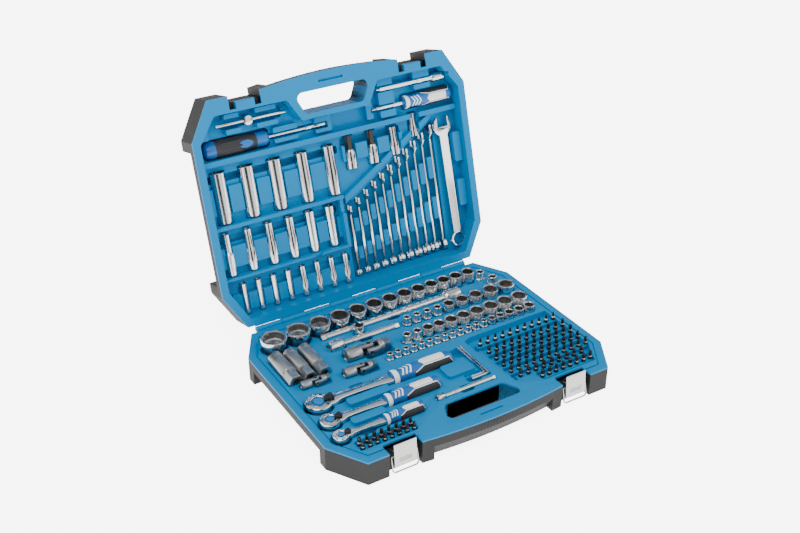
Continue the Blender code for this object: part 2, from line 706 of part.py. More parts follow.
def bar(name, place, frame):
    """An extension bar: shaft, square drive at one end, socket at the other."""
    x0, x1 = place["x"]
    s, h, r = place["s"], place["h"], place["r"]
    end, end_r = place["end"], place["end_r"]
    square = r * 1.5
    half = square / 2
    if place["left"]:
        socket = (x0, x0 + end)
        shaft = (x0 + end - 2, x1 - square)
        tip = (x1 - square - 1, x1)
        mouth = (x0 - 5, x0 + square)
    else:
        socket = (x1 - end, x1)
        shaft = (x0 + square, x1 - end + 2)
        tip = (x0, x0 + square + 1)
        mouth = (x1 - square, x1 + 5)
    body = rod(end_r, at(socket[0], s, h), at(socket[1], s, h), 12)
    fuse(body, rod(r, at(shaft[0], s, h), at(shaft[1], s, h), 10),
         box(tip, (s - half, s + half), (h - half, h + half)))
    cut(body, box(mouth, (s - half, s + half), (h - half, h + half)))
    done(body, name, "chrome", frame)


def bar_pockets(place, sign):
    x0, x1 = place["x"]
    s, h, r, end_r = place["s"], place["h"], place["r"], place["end_r"]
    socket = (x0, x0 + place["end"]) if place["left"] else (x1 - place["end"], x1)
    return [(around((x0, x1), (s - r, s + r)), h + sign * (r + GAP + 0.5)),
            (around(socket, (s - end_r, s + end_r)), h + sign * (end_r + GAP + 0.5))]


def spark_plug_socket(name, x, radius):
    """A long socket with a hexagon at its front end."""
    s0, s1 = PLUGS["s"]
    h = PLUGS["h"]
    body = rod(radius, at(x, s0, h), at(x, s1 - 22, h), 14)
    fuse(body, rod(radius * 1.02, at(x, s1 - 23, h), at(x, s1, h), 6))
    cut(body, rod(radius * 0.7, at(x, s0 - 5, h), at(x, s0 + 40, h), 10))
    done(body, name, "chrome", BASE_FRAME)


def adapter():
    top, tall = ADAPTER["top"], ADAPTER["tall"]
    body = standing_socket(ADAPTER["x"], ADAPTER["s"], ADAPTER["r"], top, top - tall, 14)
    done(body, "drive_adapter", "chrome", BASE_FRAME)


def hex_key(name, x, flats, front, length, short):
    """A bent hexagon bar: one curve with a six-sided bevel, made a mesh."""
    bend = flats * 1.3
    curve = bpy.data.curves.new(name, "CURVE")
    curve.dimensions = "3D"
    curve.bevel_depth = flats / math.sqrt(3) * MM
    curve.bevel_resolution = 1
    curve.use_fill_caps = True
    arc = [at(x - bend + bend * math.cos(a), front - bend + bend * math.sin(a), HEX_H)
           for a in (math.radians(d) for d in (0, 30, 60, 90))]
    points = [at(x, front - length, HEX_H), *arc, at(x - short, front, HEX_H)]
    spline = curve.splines.new("POLY")
    spline.points.add(len(points) - 1)
    for point, place in zip(spline.points, points):
        point.co = (*(place * MM), 1.0)
    obj = bpy.data.objects.new(name, curve)
    CUTTERS.objects.link(obj)
    graph = bpy.context.evaluated_depsgraph_get()
    mesh = bpy.data.meshes.new_from_object(obj.evaluated_get(graph))
    bpy.data.objects.remove(obj, do_unlink=True)
    bm = bmesh.new()
    bm.from_mesh(mesh)
    bmesh.ops.remove_doubles(bm, verts=bm.verts, dist=0.00001)
    bmesh.ops.scale(bm, vec=(1 / MM, 1 / MM, 1 / MM), verts=bm.verts)
    done(shape(bm), name, "steel", BASE_FRAME)


def hex_pockets():
    xs = [key[0] for key in HEX_KEYS]
    width = HEX_KEYS[0][1]
    front = HEX_KEYS[0][2]
    back = front - HEX_KEYS[0][3]
    short = HEX_KEYS[0][4]
    return [(around((min(xs) - 10, max(xs) + width), (back, front + width), 0.5), -3.5),
            (around((max(xs) - short - 1, max(xs)), (front - 15, front + width), 0.5), -3.5)]


def tee_bar():
    """A sliding tee: a plain bar and the head that runs along it."""
    x0, x1 = TEE["x"]
    s, h, r = TEE["s"], TEE["h"], TEE["r"]
    done(rod(r, at(x0, s, h), at(x1, s, h), 10), "tee_bar", "chrome", LID_FRAME)
    x, half = TEE["slider"], TEE["drive"] / 2
    head = rod(TEE["slider_r"], at(x, s, h - 5.5), at(x, s, h + 5.5), 16)
    fuse(head, box((x - half, x + half), (s - half, s + half), (h + 5, h + 5.5 + 8)))
    cut(head, rod(r + GAP, at(x - 20, s, h), at(x + 20, s, h), 10))
    done(head, "tee_slider", "chrome", LID_FRAME, at(x, s, h))


def driver():
    """The bit driver: handle, and a shaft with a bit sleeve."""
    x0, x1 = DRIVER["x"]
    s, h, r = DRIVER["s"], DRIVER["h"], DRIVER["r"]
    length = x1 - x0
    handle = turned([(0, 0), (r * 0.75, 0), (r * 0.95, 5), (r, length * 0.3), (r * 0.95, length * 0.6),
                     (r * 0.8, length * 0.8), (r * 0.85, length * 0.93), (r * 0.5, length), (0, length)],
                    at(x0, s, h), (1, 0, 0), 12)
    tang = x0 + length * 0.5
    cut(handle, rod(3.2 + GAP, at(tang, s, h), at(x1 + 5, s, h), 10))
    done(handle, "bit_driver_handle", "black_plastic", LID_FRAME)
    shaft = rod(3.2, at(tang + GAP, s, h), at(DRIVER["shaft"] + 1, s, h), 10)
    fuse(shaft, rod(4.4, at(DRIVER["shaft"], s, h), at(DRIVER["sleeve"], s, h), 12))
    cut(shaft, rod(3.2, at(DRIVER["sleeve"] - 12, s, h), at(DRIVER["sleeve"] + 5, s, h), 6))
    done(shaft, "bit_driver_shaft", "chrome", LID_FRAME)


def spinner():
    """The spinner handle: grip at the right, square drive at the left."""
    x0, x1 = SPINNER["x"]
    s, h, r = SPINNER["s"], SPINNER["h"], SPINNER["r"]
    length = x1 - x0
    grip = turned([(0, 0), (r * 0.85, 0), (r * 0.95, 3), (r * 0.86, length * 0.18), (r, length * 0.45),
                   (r, length * 0.8), (r * 0.8, length), (0, length)], at(x0, s, h), (1, 0, 0), 12)
    tang = x0 + length * 0.4
    cut(grip, rod(3.6 + GAP, at(x0 - 5, s, h), at(tang, s, h), 10))
    done(grip, "spinner_grip", "grip_blue", LID_FRAME)
    tip = SPINNER["shaft"]
    shaft = rod(3.6, at(tip + 8, s, h), at(tang - GAP, s, h), 10)
    fuse(shaft, box((tip, tip + 9), (s - 3.2, s + 3.2), (h - 3.2, h + 3.2)))
    done(shaft, "spinner_shaft", "chrome", LID_FRAME)


# ---------------------------------------------------------------- wrenches

def wrench_length(i):
    return WRENCHES["len"] + WRENCHES["step"] * i


def ring_radius(i):
    return 6.2 + 0.42 * i


def wrench_on_edge(i):
    """The side view of a combination wrench: ring end behind, open end in front."""
    x = WRENCHES["x"] + i * WRENCHES["pitch"]
    top = WRENCHES["top"]
    r = ring_radius(i)
    s0 = WRENCHES["ring_s"]
    s1 = s0 + wrench_length(i)
    shank = 3.0 + 0.1 * i
    mid = top + r
    ring = [(s0 + r - r * math.cos(math.radians(a)), mid + r * math.sin(math.radians(a)))
            for a in range(-150, 151, 50)]
    jaw = r + 1.0
    outline = ([(s1 - jaw * 1.9, mid + shank), (s1 - jaw * 1.2, mid + jaw * 0.95), (s1, mid + jaw * 0.8),
                (s1 - jaw * 0.9, mid), (s1, mid - jaw * 0.8), (s1 - jaw * 1.2, mid - jaw * 0.95),
                (s1 - jaw * 1.9, mid - shank)])
    outline = [point for point in reversed(ring)] + [(s0 + r * 2.1, mid - shank)] + list(reversed(outline))
    outline += [(s0 + r * 2.1, mid + shank)]
    return plate_on_edge(outline, (x - 2.4, x + 2.4))


def wrench_row():
    """The small combination wrenches, joined by a thin strip behind their shanks."""
    count = WRENCHES["count"]
    x0 = WRENCHES["x"]
    x1 = x0 + WRENCHES["pitch"] * (count - 1)
    low = WRENCHES["top"] + ring_radius(0) - 1.0
    high = WRENCHES["top"] + ring_radius(count - 1) + 1.0
    strip = box((x0, x1), (84, 90), (low, high))
    wrenches = bundle([wrench_on_edge(i) for i in range(count)])
    done(fuse(strip, wrenches), "combination_wrench_row", "chrome", LID_FRAME)


def big_wrench():
    """The largest combination wrench, lying flat at the right of the lid."""
    ring = Vector(BIG_WRENCH["ring"])
    jaw = Vector(BIG_WRENCH["jaw"])
    low, high = BIG_WRENCH["top"], BIG_WRENCH["top"] + BIG_WRENCH["t"]
    along = (jaw - ring).normalized()
    across = Vector((along.y, -along.x))
    shank = [ring + across * 6.5, jaw + across * 8, jaw - across * 8, ring - across * 6.5]
    body = prism([tuple(p) for p in shank], low + 1, high - 1)
    fuse(body, rod(BIG_WRENCH["ring_r"], at(*ring, low), at(*ring, high), 18),
         rod(BIG_WRENCH["jaw_r"], at(*jaw, low), at(*jaw, high), 18))
    mouth = [jaw + across * 9.5 + along * 30, jaw - across * 9.5 + along * 30,
             jaw - across * 9.5 - along * 2, jaw + across * 9.5 - along * 2]
    cut(body, rod(BIG_WRENCH["ring_r"] - 3.2, at(*ring, low - 2), at(*ring, high + 2), 12),
        prism([tuple(p) for p in mouth], low - 2, high + 2))
    done(body, "wrench_large", "chrome", LID_FRAME)


# ---------------------------------------------------------------- latches and hinge pin

def latch(side):
    """The lever on its trunnions, and the wire bail hung in its sides."""
    label = "left" if side < 0 else "right"
    x = side * LATCH_X
    half = LATCH_W / 2
    frame = BASE_FRAME
    pivot_s = LEVER_S - PIVOT_IN
    pivot = at(x, pivot_s, LEVER_H)
    plate = box((x - half, x + half), (LEVER_S - LEVER_T / 2, LEVER_S + LEVER_T / 2),
                (LEVER_H - LEVER_LEN, LEVER_H + LEVER_TOP))
    bail_h = LEVER_H - BAIL_DROP
    bail_s = pivot_s
    for edge in (x - half, x + half - LEVER_T):
        fuse(plate, box((edge, edge + LEVER_T), (LEVER_S - CHEEK, LEVER_S), (LEVER_H - LEVER_LEN, LEVER_H + 3)))
    fuse(plate, rod(TRUNNION_R, at(x - half + 0.5, pivot_s, LEVER_H), at(x + half - 0.5, pivot_s, LEVER_H), 10))
    hole = rod(WIRE_R + GAP, at(x - half - 5, bail_s, bail_h), at(x + half + 5, bail_s, bail_h), 8)
    cut(plate, hole)

    span = half + 2.5
    legs = [at(x - half + 2.2, bail_s, bail_h), at(x - span, bail_s, bail_h), at(x - span, bail_s, bail_h - BAIL_LEN + 3),
            at(x - span + 3, bail_s, bail_h - BAIL_LEN), at(x + span - 3, bail_s, bail_h - BAIL_LEN),
            at(x + span, bail_s, bail_h - BAIL_LEN + 3), at(x + span, bail_s, bail_h), at(x + half - 2.2, bail_s, bail_h)]
    curve = bpy.data.curves.new("wire", "CURVE")
    curve.dimensions = "3D"
    curve.bevel_depth = WIRE_R * MM
    curve.bevel_resolution = 2
    curve.use_fill_caps = True
    spline = curve.splines.new("POLY")
    spline.points.add(len(legs) - 1)
    for point, place in zip(spline.points, legs):
        point.co = (*(place * MM), 1.0)
    wire = bpy.data.objects.new("wire", curve)
    CUTTERS.objects.link(wire)
    graph = bpy.context.evaluated_depsgraph_get()
    mesh = bpy.data.meshes.new_from_object(wire.evaluated_get(graph))
    bpy.data.objects.remove(wire, do_unlink=True)
    bm = bmesh.new()
    bm.from_mesh(mesh)
    bmesh.ops.remove_doubles(bm, verts=bm.verts, dist=0.00001)
    bmesh.ops.scale(bm, vec=(1 / MM, 1 / MM, 1 / MM), verts=bm.verts)
    bail = shape(bm)

    def swung(obj, centre, degrees):
        turn = Matrix.Rotation(math.radians(degrees), 4, "X")
        obj.data.transform(Matrix.Translation(centre * MM) @ turn @ Matrix.Translation(-centre * MM))

    bail_pivot = at(x, bail_s, bail_h)
    swung(bail, bail_pivot, -BAIL_TILT)
    swung(bail, pivot, -LEVER_TILT)
    swung(plate, pivot, -LEVER_TILT)
    moved = Matrix.Rotation(math.radians(-LEVER_TILT), 3, "X") @ (bail_pivot - pivot) + pivot
    done(plate, f"latch_{label}_lever", "steel", frame, pivot)
    done(bail, f"latch_{label}_bail", "steel", frame, moved)


def hinge_pin():
    pin = rod(PIN_R, at(HINGE_X[0] + 2, 0, 0), at(HINGE_X[1] - 2, 0, 0), 12)
    done(pin, "hinge_pin", "steel", BASE_FRAME, at(0, 0, 0))


# ---------------------------------------------------------------- the set

HINGE = Vector((0.0, HINGE_Y * MM, BASE_D * MM))
BASE_FRAME = frame_at("base_frame", HINGE)
LID_FRAME = frame_at("lid_frame", HINGE, -OPEN_DEG)


def base_regions():
    regions = [row_pocket(HALF_OD, HALF_ROW), row_pocket(STAR_OD, STAR_ROW),
               row_pocket(THREE_OD, THREE_ROW), row_pocket(QUARTER_OD, QUARTER_ROW)]
    for place in RATCHETS.values():
        regions += ratchet_pockets(place)
    for place in SWIVELS.values():
        regions += swivel_pockets(place)
    for place in BARS.values():
        regions += bar_pockets(place, -1.0)
    widest = max(PLUGS["r"])
    regions.append((around((PLUGS["x"][0] - widest, PLUGS["x"][-1] + PLUGS["r"][-1]), PLUGS["s"], 1.0),
                    PLUGS["h"] - widest - 1.0))
    spot = ADAPTER
    regions.append((around((spot["x"] - spot["r"], spot["x"] + spot["r"]),
                           (spot["s"] - spot["r"], spot["s"] + spot["r"]), 0.5), spot["top"] - spot["tall"] - GAP))
    regions += hex_pockets()
    for rack in [BIT_FIELD, *BIT_RACKS]:
        regions.append((rect(rack["x"], rack["s"]), -rack["deep"]))
    return regions


def lid_regions():
    recess = recess_outline()
    edge = CASE_W / 2 - RIM_W
    wrench_x = (WRENCHES["x"] - 8, WRENCHES["x"] + WRENCHES["pitch"] * (WRENCHES["count"] - 1) + 6)
    wrench_floor = WRENCHES["top"] + 2 * ring_radius(WRENCHES["count"] - 1) + 1.4
    back = WRENCHES["ring_s"] - 1.4

    def wrench_front(x):
        """Where the field ends at x: just past the jaws, which step along with the wrenches."""
        return WRENCHES["ring_s"] + wrench_length((x + 4.4 - WRENCHES["x"]) / WRENCHES["pitch"])

    field = [(wrench_x[0], back), (wrench_x[1], back),
             (wrench_x[1], wrench_front(wrench_x[1])), (wrench_x[0], wrench_front(wrench_x[0]))]
    deep_zone = [(-edge + 22, BACK_S + RIM_W), (edge - 22, BACK_S + RIM_W), (edge, BACK_S + BACK_CUT[1] + 6),
                 (edge, LID_STEP), (-edge, LID_STEP), (-edge, BACK_S + BACK_CUT[1] + 6)]
    tee_half = TEE["slider_r"]
    big = BIG_WRENCH
    regions = [(recess, LID_PANEL), (deep_zone, LID_DEEP), (field, wrench_floor)]
    regions += [lying_pockets(group) for group in (DEEP_HALF, DEEP_THREE, DEEP_QUARTER, BIT_SOCKET)]
    regions.append((around(TEE["x"], (TEE["s"] - tee_half, TEE["s"] + tee_half)), TEE["h"] + 5.5 + 8 + 1))
    regions += bar_pockets(LID_BAR, 1.0)
    regions.append((around(DRIVER["x"], (DRIVER["s"] - DRIVER["r"], DRIVER["s"] + DRIVER["r"])),
                    DRIVER["h"] + DRIVER["r"] + 0.8))
    regions.append((around((DRIVER["x"][1], DRIVER["sleeve"]), (DRIVER["s"] - 4.4, DRIVER["s"] + 4.4)),
                    DRIVER["h"] + 5.2))
    regions.append((around(SPINNER["x"], (SPINNER["s"] - SPINNER["r"], SPINNER["s"] + SPINNER["r"])),
                    SPINNER["h"] + SPINNER["r"] + 0.8))
    regions.append((around((SPINNER["shaft"], SPINNER["x"][0]), (SPINNER["s"] - 3.6, SPINNER["s"] + 3.6)),
                    SPINNER["h"] + 4.4))
    big_floor = big["top"] + big["t"] + 0.8
    regions.append((rect((big["jaw"][0] - big["jaw_r"] - 1.5, edge),
                         (big["ring"][1] + 25, big["jaw"][1] + big["jaw_r"] + 1.5)), big_floor))
    regions.append((round_pocket(*big["ring"], big["ring_r"] + 0.6), big_floor))
    regions.append((rect((big["ring"][0] - 9, big["ring"][0] + 9),
                         (big["ring"][1], big["ring"][1] + 27)), big_floor))
    return regions


def build():
    shell(BASE_D, -1.0, "base_shell", BASE_FRAME)
    tray(base_regions(), -1.0, "base_tray", BASE_FRAME, 0)
    shell(LID_D, 1.0, "lid_shell", LID_FRAME)
    tray(lid_regions(), 1.0, "lid_tray", LID_FRAME, 1)
    hinge_pin()
    for side in (-1.0, 1.0):
        latch(side)
    socket_row("half_inch_socket_row", HALF_OD, HALF_ROW, 12, BASE_FRAME)
    socket_row("star_socket_row", STAR_OD, STAR_ROW, 10, BASE_FRAME)
    socket_row("three_eighths_socket_row", THREE_OD, THREE_ROW, 10, BASE_FRAME)
    socket_row("quarter_inch_socket_row", QUARTER_OD, QUARTER_ROW, 8, BASE_FRAME)
    for size, place in RATCHETS.items():
        ratchet(size, place)
    for size, place in SWIVELS.items():
        swivel(size, place)
    for name, place in BARS.items():
        bar(name, place, BASE_FRAME)
    bar("extension_three_eighths", LID_BAR, LID_FRAME)
    for i, (x, radius) in enumerate(zip(PLUGS["x"], PLUGS["r"]), 1):
        spark_plug_socket(f"spark_plug_socket_{i}", x, radius)
    adapter()
    for i, key in enumerate(HEX_KEYS, 1):
        hex_key(f"hex_key_{i}", *key)
    lying_row("deep_half_inch_socket_row", DEEP_HALF, 12, LID_FRAME)
    lying_row("deep_three_eighths_socket_row", DEEP_THREE, 10, LID_FRAME)
    lying_row("deep_quarter_inch_socket_row", DEEP_QUARTER, 8, LID_FRAME)
    lying_row("bit_socket_row", BIT_SOCKET, 10, LID_FRAME)
    tee_bar()
    driver()
    spinner()
    wrench_row()
    big_wrench()


build()
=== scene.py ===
# %% [markdown]
# # A socket wrench set in its open case
#
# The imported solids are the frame: they hold every place and every joint. This script builds the looks
# on top of them: moulded trays with fitted seats, turned sockets, ratchets with two-part grips,
# wrenches, drivers and bits.
#
# Lengths are written in millimetres in the case's own layout: x to the right, s forward from the hinge
# axis, and h up from the base's rim. In the lid, h is the depth above its rim, with the lid drawn shut
# and then turned open.

# %% Load the frame
import math

import bmesh
import bpy
from mathutils import Matrix, Vector


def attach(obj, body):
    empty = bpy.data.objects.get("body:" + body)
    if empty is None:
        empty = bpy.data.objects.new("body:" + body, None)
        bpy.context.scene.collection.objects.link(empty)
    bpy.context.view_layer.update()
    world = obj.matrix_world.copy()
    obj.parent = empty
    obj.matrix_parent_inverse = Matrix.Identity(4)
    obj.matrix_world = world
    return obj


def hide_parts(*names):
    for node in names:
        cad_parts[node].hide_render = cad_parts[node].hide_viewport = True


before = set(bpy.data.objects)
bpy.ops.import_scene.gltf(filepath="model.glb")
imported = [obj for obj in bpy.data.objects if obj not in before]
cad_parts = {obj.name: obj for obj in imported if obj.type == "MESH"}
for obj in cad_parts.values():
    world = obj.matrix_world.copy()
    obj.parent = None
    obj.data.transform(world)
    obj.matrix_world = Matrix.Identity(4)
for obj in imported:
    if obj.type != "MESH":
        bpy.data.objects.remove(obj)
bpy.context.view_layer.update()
MM = 0.001
HINGE = Vector((0.0, 181.0, 38.0))
OPEN = Matrix.Rotation(math.radians(-105.5), 4, "X")
BASE = Matrix.Scale(MM, 4) @ Matrix.Translation(HINGE)
LID = Matrix.Scale(MM, 4) @ Matrix.Translation(HINGE) @ OPEN

# %% [markdown]
# ## Materials
#
# Every finish is procedural. On most of them, fine grain comes from noise on object coordinates, driving a
# small bump, a small change in roughness or both, so that those surfaces are not perfectly even.

# %% Materials
def material(name, colour, roughness, metallic=0.0, grain=0.0, scale=900.0, mottle=0.0, coat=0.0, shine=0.5):
    made = bpy.data.materials.new(name)
    made.use_nodes = True
    tree = made.node_tree
    shader = tree.nodes["Principled BSDF"]
    shader.inputs["Base Color"].default_value = (*colour, 1.0)
    shader.inputs["Roughness"].default_value = roughness
    shader.inputs["Metallic"].default_value = metallic
    shader.inputs["Coat Weight"].default_value = coat
    shader.inputs["Specular IOR Level"].default_value = shine
    if grain or mottle:
        place = tree.nodes.new("ShaderNodeTexCoord")
        noise = tree.nodes.new("ShaderNodeTexNoise")
        noise.inputs["Scale"].default_value = scale
        noise.inputs["Detail"].default_value = 3.0
        tree.links.new(place.outputs["Object"], noise.inputs["Vector"])
    if grain:
        bump = tree.nodes.new("ShaderNodeBump")
        bump.inputs["Strength"].default_value = 0.35
        bump.inputs["Distance"].default_value = grain * MM
        tree.links.new(noise.outputs["Fac"], bump.inputs["Height"])
        tree.links.new(bump.outputs["Normal"], shader.inputs["Normal"])
    if mottle:
        spread = tree.nodes.new("ShaderNodeMapRange")
        spread.inputs["To Min"].default_value = max(0.02, roughness - mottle)
        spread.inputs["To Max"].default_value = roughness + mottle
        tree.links.new(noise.outputs["Fac"], spread.inputs["Value"])
        tree.links.new(spread.outputs["Result"], shader.inputs["Roughness"])
    return made


BLUE = material("tray_blue", (0.0, 0.19, 0.43), 0.4, grain=0.1, scale=700, mottle=0.05, shine=0.12)
SHELL = material("shell_black", (0.011, 0.0105, 0.0105), 0.6, grain=0.3, scale=900, mottle=0.08, shine=0.3)
CHROME = material("chrome", (0.68, 0.68, 0.68), 0.12, 1.0, mottle=0.03, scale=60)
SATIN = material("satin_chrome", (0.42, 0.42, 0.42), 0.3, 1.0, mottle=0.05, scale=250)
BORE = material("bore_steel", (0.42, 0.42, 0.42), 0.32, 1.0)
STEEL = material("latch_steel", (0.5, 0.5, 0.49), 0.28, 1.0, mottle=0.07, scale=90)
BIT = material("bit_steel", (0.05, 0.048, 0.048), 0.3, 0.8, mottle=0.08, scale=300)
# A bright steel painted as a highlight on the ring round each bit's shoulder.
BIT_PAINTED_HIGHLIGHT = material("bit_painted_highlight", (0.5, 0.5, 0.5), 0.28, 1.0)
GRIP = material("grip_blue", (0.0, 0.11, 0.36), 0.34, mottle=0.05, scale=200)
RUBBER = material("grip_rubber", (0.018, 0.018, 0.02), 0.62, grain=0.2, scale=1200)
WHITE = material("grip_white", (0.85, 0.85, 0.85), 0.35)
BUTTON = material("button_blue", (0.0, 0.16, 0.45), 0.26, coat=0.3)
BLACK = material("black_steel", (0.03, 0.03, 0.03), 0.38, 0.5)
print("materials", len(bpy.data.materials))

# %% [markdown]
# ## Shapes
#
# The case could be modelled as one sculpted mesh, but its real form is simple moulded steps, so solids
# with exact booleans and one rounding bevel give the same form and stay measurable. Turned tools come
# from rings of points: a ring can be a circle, a hexagon or a square, so a hexagon bore needs no boolean.

# %% Shape tools
def at(x, s, h):
    return Vector((x, -s, h))


def turn_about(point, degrees):
    """A turn about the x direction through a point."""
    turn = Matrix.Rotation(math.radians(degrees), 4, "X")
    return Matrix.Translation(point) @ turn @ Matrix.Translation(-point)


def new_object(name, bm, tidy=True):
    """A work object, still in case millimetres."""
    if tidy:
        bmesh.ops.recalc_face_normals(bm, faces=bm.faces)
    mesh = bpy.data.meshes.new(name)
    bm.to_mesh(mesh)
    bm.free()
    obj = bpy.data.objects.new(name, mesh)
    bpy.context.scene.collection.objects.link(obj)
    return obj


def box(x, s, h):
    bm = bmesh.new()
    bmesh.ops.create_cube(bm, size=1.0)
    bmesh.ops.scale(bm, vec=(x[1] - x[0], s[1] - s[0], h[1] - h[0]), verts=bm.verts)
    middle = at((x[0] + x[1]) / 2, (s[0] + s[1]) / 2, (h[0] + h[1]) / 2)
    bmesh.ops.translate(bm, vec=middle, verts=bm.verts)
    return new_object("box", bm)


def prism(outline, low, high, low_outline=None):
    bm = bmesh.new()
    tops = [bm.verts.new(at(x, s, high)) for x, s in outline]
    lows = [bm.verts.new(at(x, s, low)) for x, s in (low_outline or outline)]
    bm.faces.new(tops)
    bm.faces.new(list(reversed(lows)))
    for i in range(len(tops)):
        j = (i + 1) % len(tops)
        bm.faces.new((tops[j], tops[i], lows[i], lows[j]))
    return new_object("prism", bm)


def ring_radius(kind, radius, angle):
    """Distance to the edge of a ring at an angle; flats are measured to their middle."""
    if kind == "hex":
        step = math.radians(60)
        return min(radius / math.cos((angle % step) - step / 2), radius * 1.13)
    if kind == "square":
        step = math.radians(90)
        return min(radius / math.cos((angle % step) - step / 2), radius * 1.3)
    if kind == "twelve":
        step = math.radians(30)
        return radius * (1.0 + 0.07 * abs(((angle % step) / step) * 2 - 1))
    if kind == "star":
        return radius * (1.0 + 0.09 * math.cos(6 * angle))
    if kind == "knurl":
        return radius * (1.0 - 0.025 * (int(round(angle / math.tau * 96)) % 2))
    return radius


def lathe(rings, start, direction, sides=32):
    """Rings of (kind, radius, distance along) joined by quads; radius 0 closes to a point."""
    bm = bmesh.new()
    turn = Vector((0, 0, 1)).rotation_difference(Vector(direction)).to_matrix()
    loops = []
    for kind, radius, along in rings:
        if radius <= 0.0:
            loops.append([bm.verts.new(turn @ Vector((0, 0, along)))])
            continue
        loop = []
        for i in range(sides):
            angle = math.tau * i / sides
            reach = ring_radius(kind, radius, angle)
            point = Vector((reach * math.cos(angle), reach * math.sin(angle), along))
            loop.append(bm.verts.new(turn @ point))
        loops.append(loop)
    for one, two in zip(loops, loops[1:]):
        for i in range(sides):
            j = (i + 1) % sides
            if len(one) == 1:
                bm.faces.new((one[0], two[j], two[i]))
            elif len(two) == 1:
                bm.faces.new((one[i], one[j], two[0]))
            else:
                bm.faces.new((one[i], one[j], two[j], two[i]))
    bmesh.ops.translate(bm, vec=start, verts=bm.verts)
    return new_object("turned", bm)


def rod(radius, start, end, sides=24, end_radius=None, soft=0.0):
    axis = end - start
    far = radius if end_radius is None else end_radius
    length = axis.length
    c = min(soft, length / 3)
    rings = [("circle", 0, 0), ("circle", radius - c, 0)]
    if c:
        rings.append(("circle", radius, c))
        rings.append(("circle", far, length - c))
    rings += [("circle", far - c, length), ("circle", 0, length)]
    return lathe(rings, start, axis, sides)


def combine(target, tools, operation):
    for tool in tools:
        step = target.modifiers.new("combine", "BOOLEAN")
        step.operation = operation
        step.solver = "EXACT"
        step.object = tool
        graph = bpy.context.evaluated_depsgraph_get()
        mesh = bpy.data.meshes.new_from_object(target.evaluated_get(graph))
        target.modifiers.clear()
        target.data = mesh
        bpy.data.objects.remove(tool, do_unlink=True)
    return target


def fuse(target, *tools):
    return combine(target, tools, "UNION")


def cut(target, *tools):
    return combine(target, tools, "DIFFERENCE")


def bundle(objs, name):
    """Objects joined into one mesh, keeping each one's material."""
    bm = bmesh.new()
    slots = []
    for obj in objs:
        before = len(bm.faces)
        bm.from_mesh(obj.data)
        bm.faces.ensure_lookup_table()
        own = [m for m in obj.data.materials] or [None]
        for face in bm.faces[before:]:
            mat = own[min(face.material_index, len(own) - 1)]
            if mat not in slots:
                slots.append(mat)
            face.material_index = slots.index(mat)
    mesh = bpy.data.meshes.new(name)
    bm.to_mesh(mesh)
    bm.free()
    for mat in slots:
        mesh.materials.append(mat)
    for obj in objs:
        bpy.data.objects.remove(obj, do_unlink=True)
    made = bpy.data.objects.new(name, mesh)
    bpy.context.scene.collection.objects.link(made)
    return made


def paint(obj, mat):
    obj.data.materials.clear()
    obj.data.materials.append(mat)
    return obj


def soften(obj, width, segments=2, angle=32):
    """Rounds the edges sharper than an angle and keeps the result."""
    step = obj.modifiers.new("soften", "BEVEL")
    step.width = width
    step.segments = segments
    step.limit_method = "ANGLE"
    step.angle_limit = math.radians(angle)
    step.use_clamp_overlap = True
    graph = bpy.context.evaluated_depsgraph_get()
    mesh = bpy.data.meshes.new_from_object(obj.evaluated_get(graph))
    obj.modifiers.clear()
    obj.data = mesh
    return obj


def place(obj, name, body, space, slot, *nodes, sharp=32):
    """Moves a finished piece into the world, rides it on its body and lets it stand for its solids."""
    obj.data.transform(space)
    obj.name = name
    obj.data.name = name
    obj.data.shade_smooth()
    obj.data.set_sharp_from_angle(angle=math.radians(sharp))
    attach(obj, body)
    if nodes:
        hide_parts(*nodes)
    print(f"{name}: {len(obj.data.polygons)} faces")
    return obj


def inset(outline, depth):
    points = [Vector(p) for p in outline]
    area = sum(a.x * b.y - b.x * a.y for a, b in zip(points, points[1:] + points[:1]))
    side = 1.0 if area > 0 else -1.0
    moved = []
    for before, here, after in zip(points[-1:] + points[:-1], points, points[1:] + points[:1]):
        into = (here - before).normalized()
        away = (after - here).normalized()
        one = Vector((-into.y, into.x)) * side
        two = Vector((-away.y, away.x)) * side
        moved.append(tuple(here + (one + two) / (1.0 + one.dot(two)) * depth))
    return moved


def rounded(outline, radius, steps=4):
    result = []
    points = [Vector(p) for p in outline]
    for before, here, after in zip(points[-1:] + points[:-1], points, points[1:] + points[:1]):
        back = (before - here).normalized()
        on = (after - here).normalized()
        half = math.acos(max(-1.0, min(1.0, back.dot(on)))) / 2
        centre = here + (back + on).normalized() * radius / math.sin(half)
        first = here + back * radius / math.tan(half) - centre
        last = here + on * radius / math.tan(half) - centre
        for i in range(steps + 1):
            result.append(tuple(centre + first.lerp(last, i / steps).normalized() * radius))
    return result


def rect(x, s, radius=2.0):
    outline = [(x[0], s[0]), (x[1], s[0]), (x[1], s[1]), (x[0], s[1])]
    return rounded(outline, radius, 3) if radius else outline


def slab(x, s, h, radius=2.0, draft=0.6):
    """A moulded block or pocket: rounded corners and drafted sides, narrower at the lower height."""
    return prism(rect(x, s, radius), h[0], h[1], inset(rect(x, s, radius), draft))


# %% [markdown]
# ## The case
#
# The outline is one polygon with a bowed carrying edge. Both halves use it: a black shell, tapered below
# an upright band with full-depth feet, and a blue tray. Each tray is a solid block hidden inside the
# shell with every seat cut into it, because only its top can be seen.

# %% Case outline
def case_outline():
    right = [(204.0, 6.7), (235.0, 62.0), (235.0, 299.0), (201.5, 355.4)]
    bow = [(116.0 * (1 - i / 8), 355.4 + 7.6 * (1 - (1 - i / 8) ** 2)) for i in range(17)]
    return right + bow + [(-x, s) for x, s in reversed(right)]


OUTLINE = case_outline()
HANDLE = rounded([(-50, 304), (50, 304), (66, 337), (-66, 337)], 9, 6)
LATCH_X = 143.5


def notch(side, s, h, grow=0.0):
    x = side * LATCH_X
    return box((x - 25.5 - grow, x + 25.5 + grow), (s - grow, 400), h)


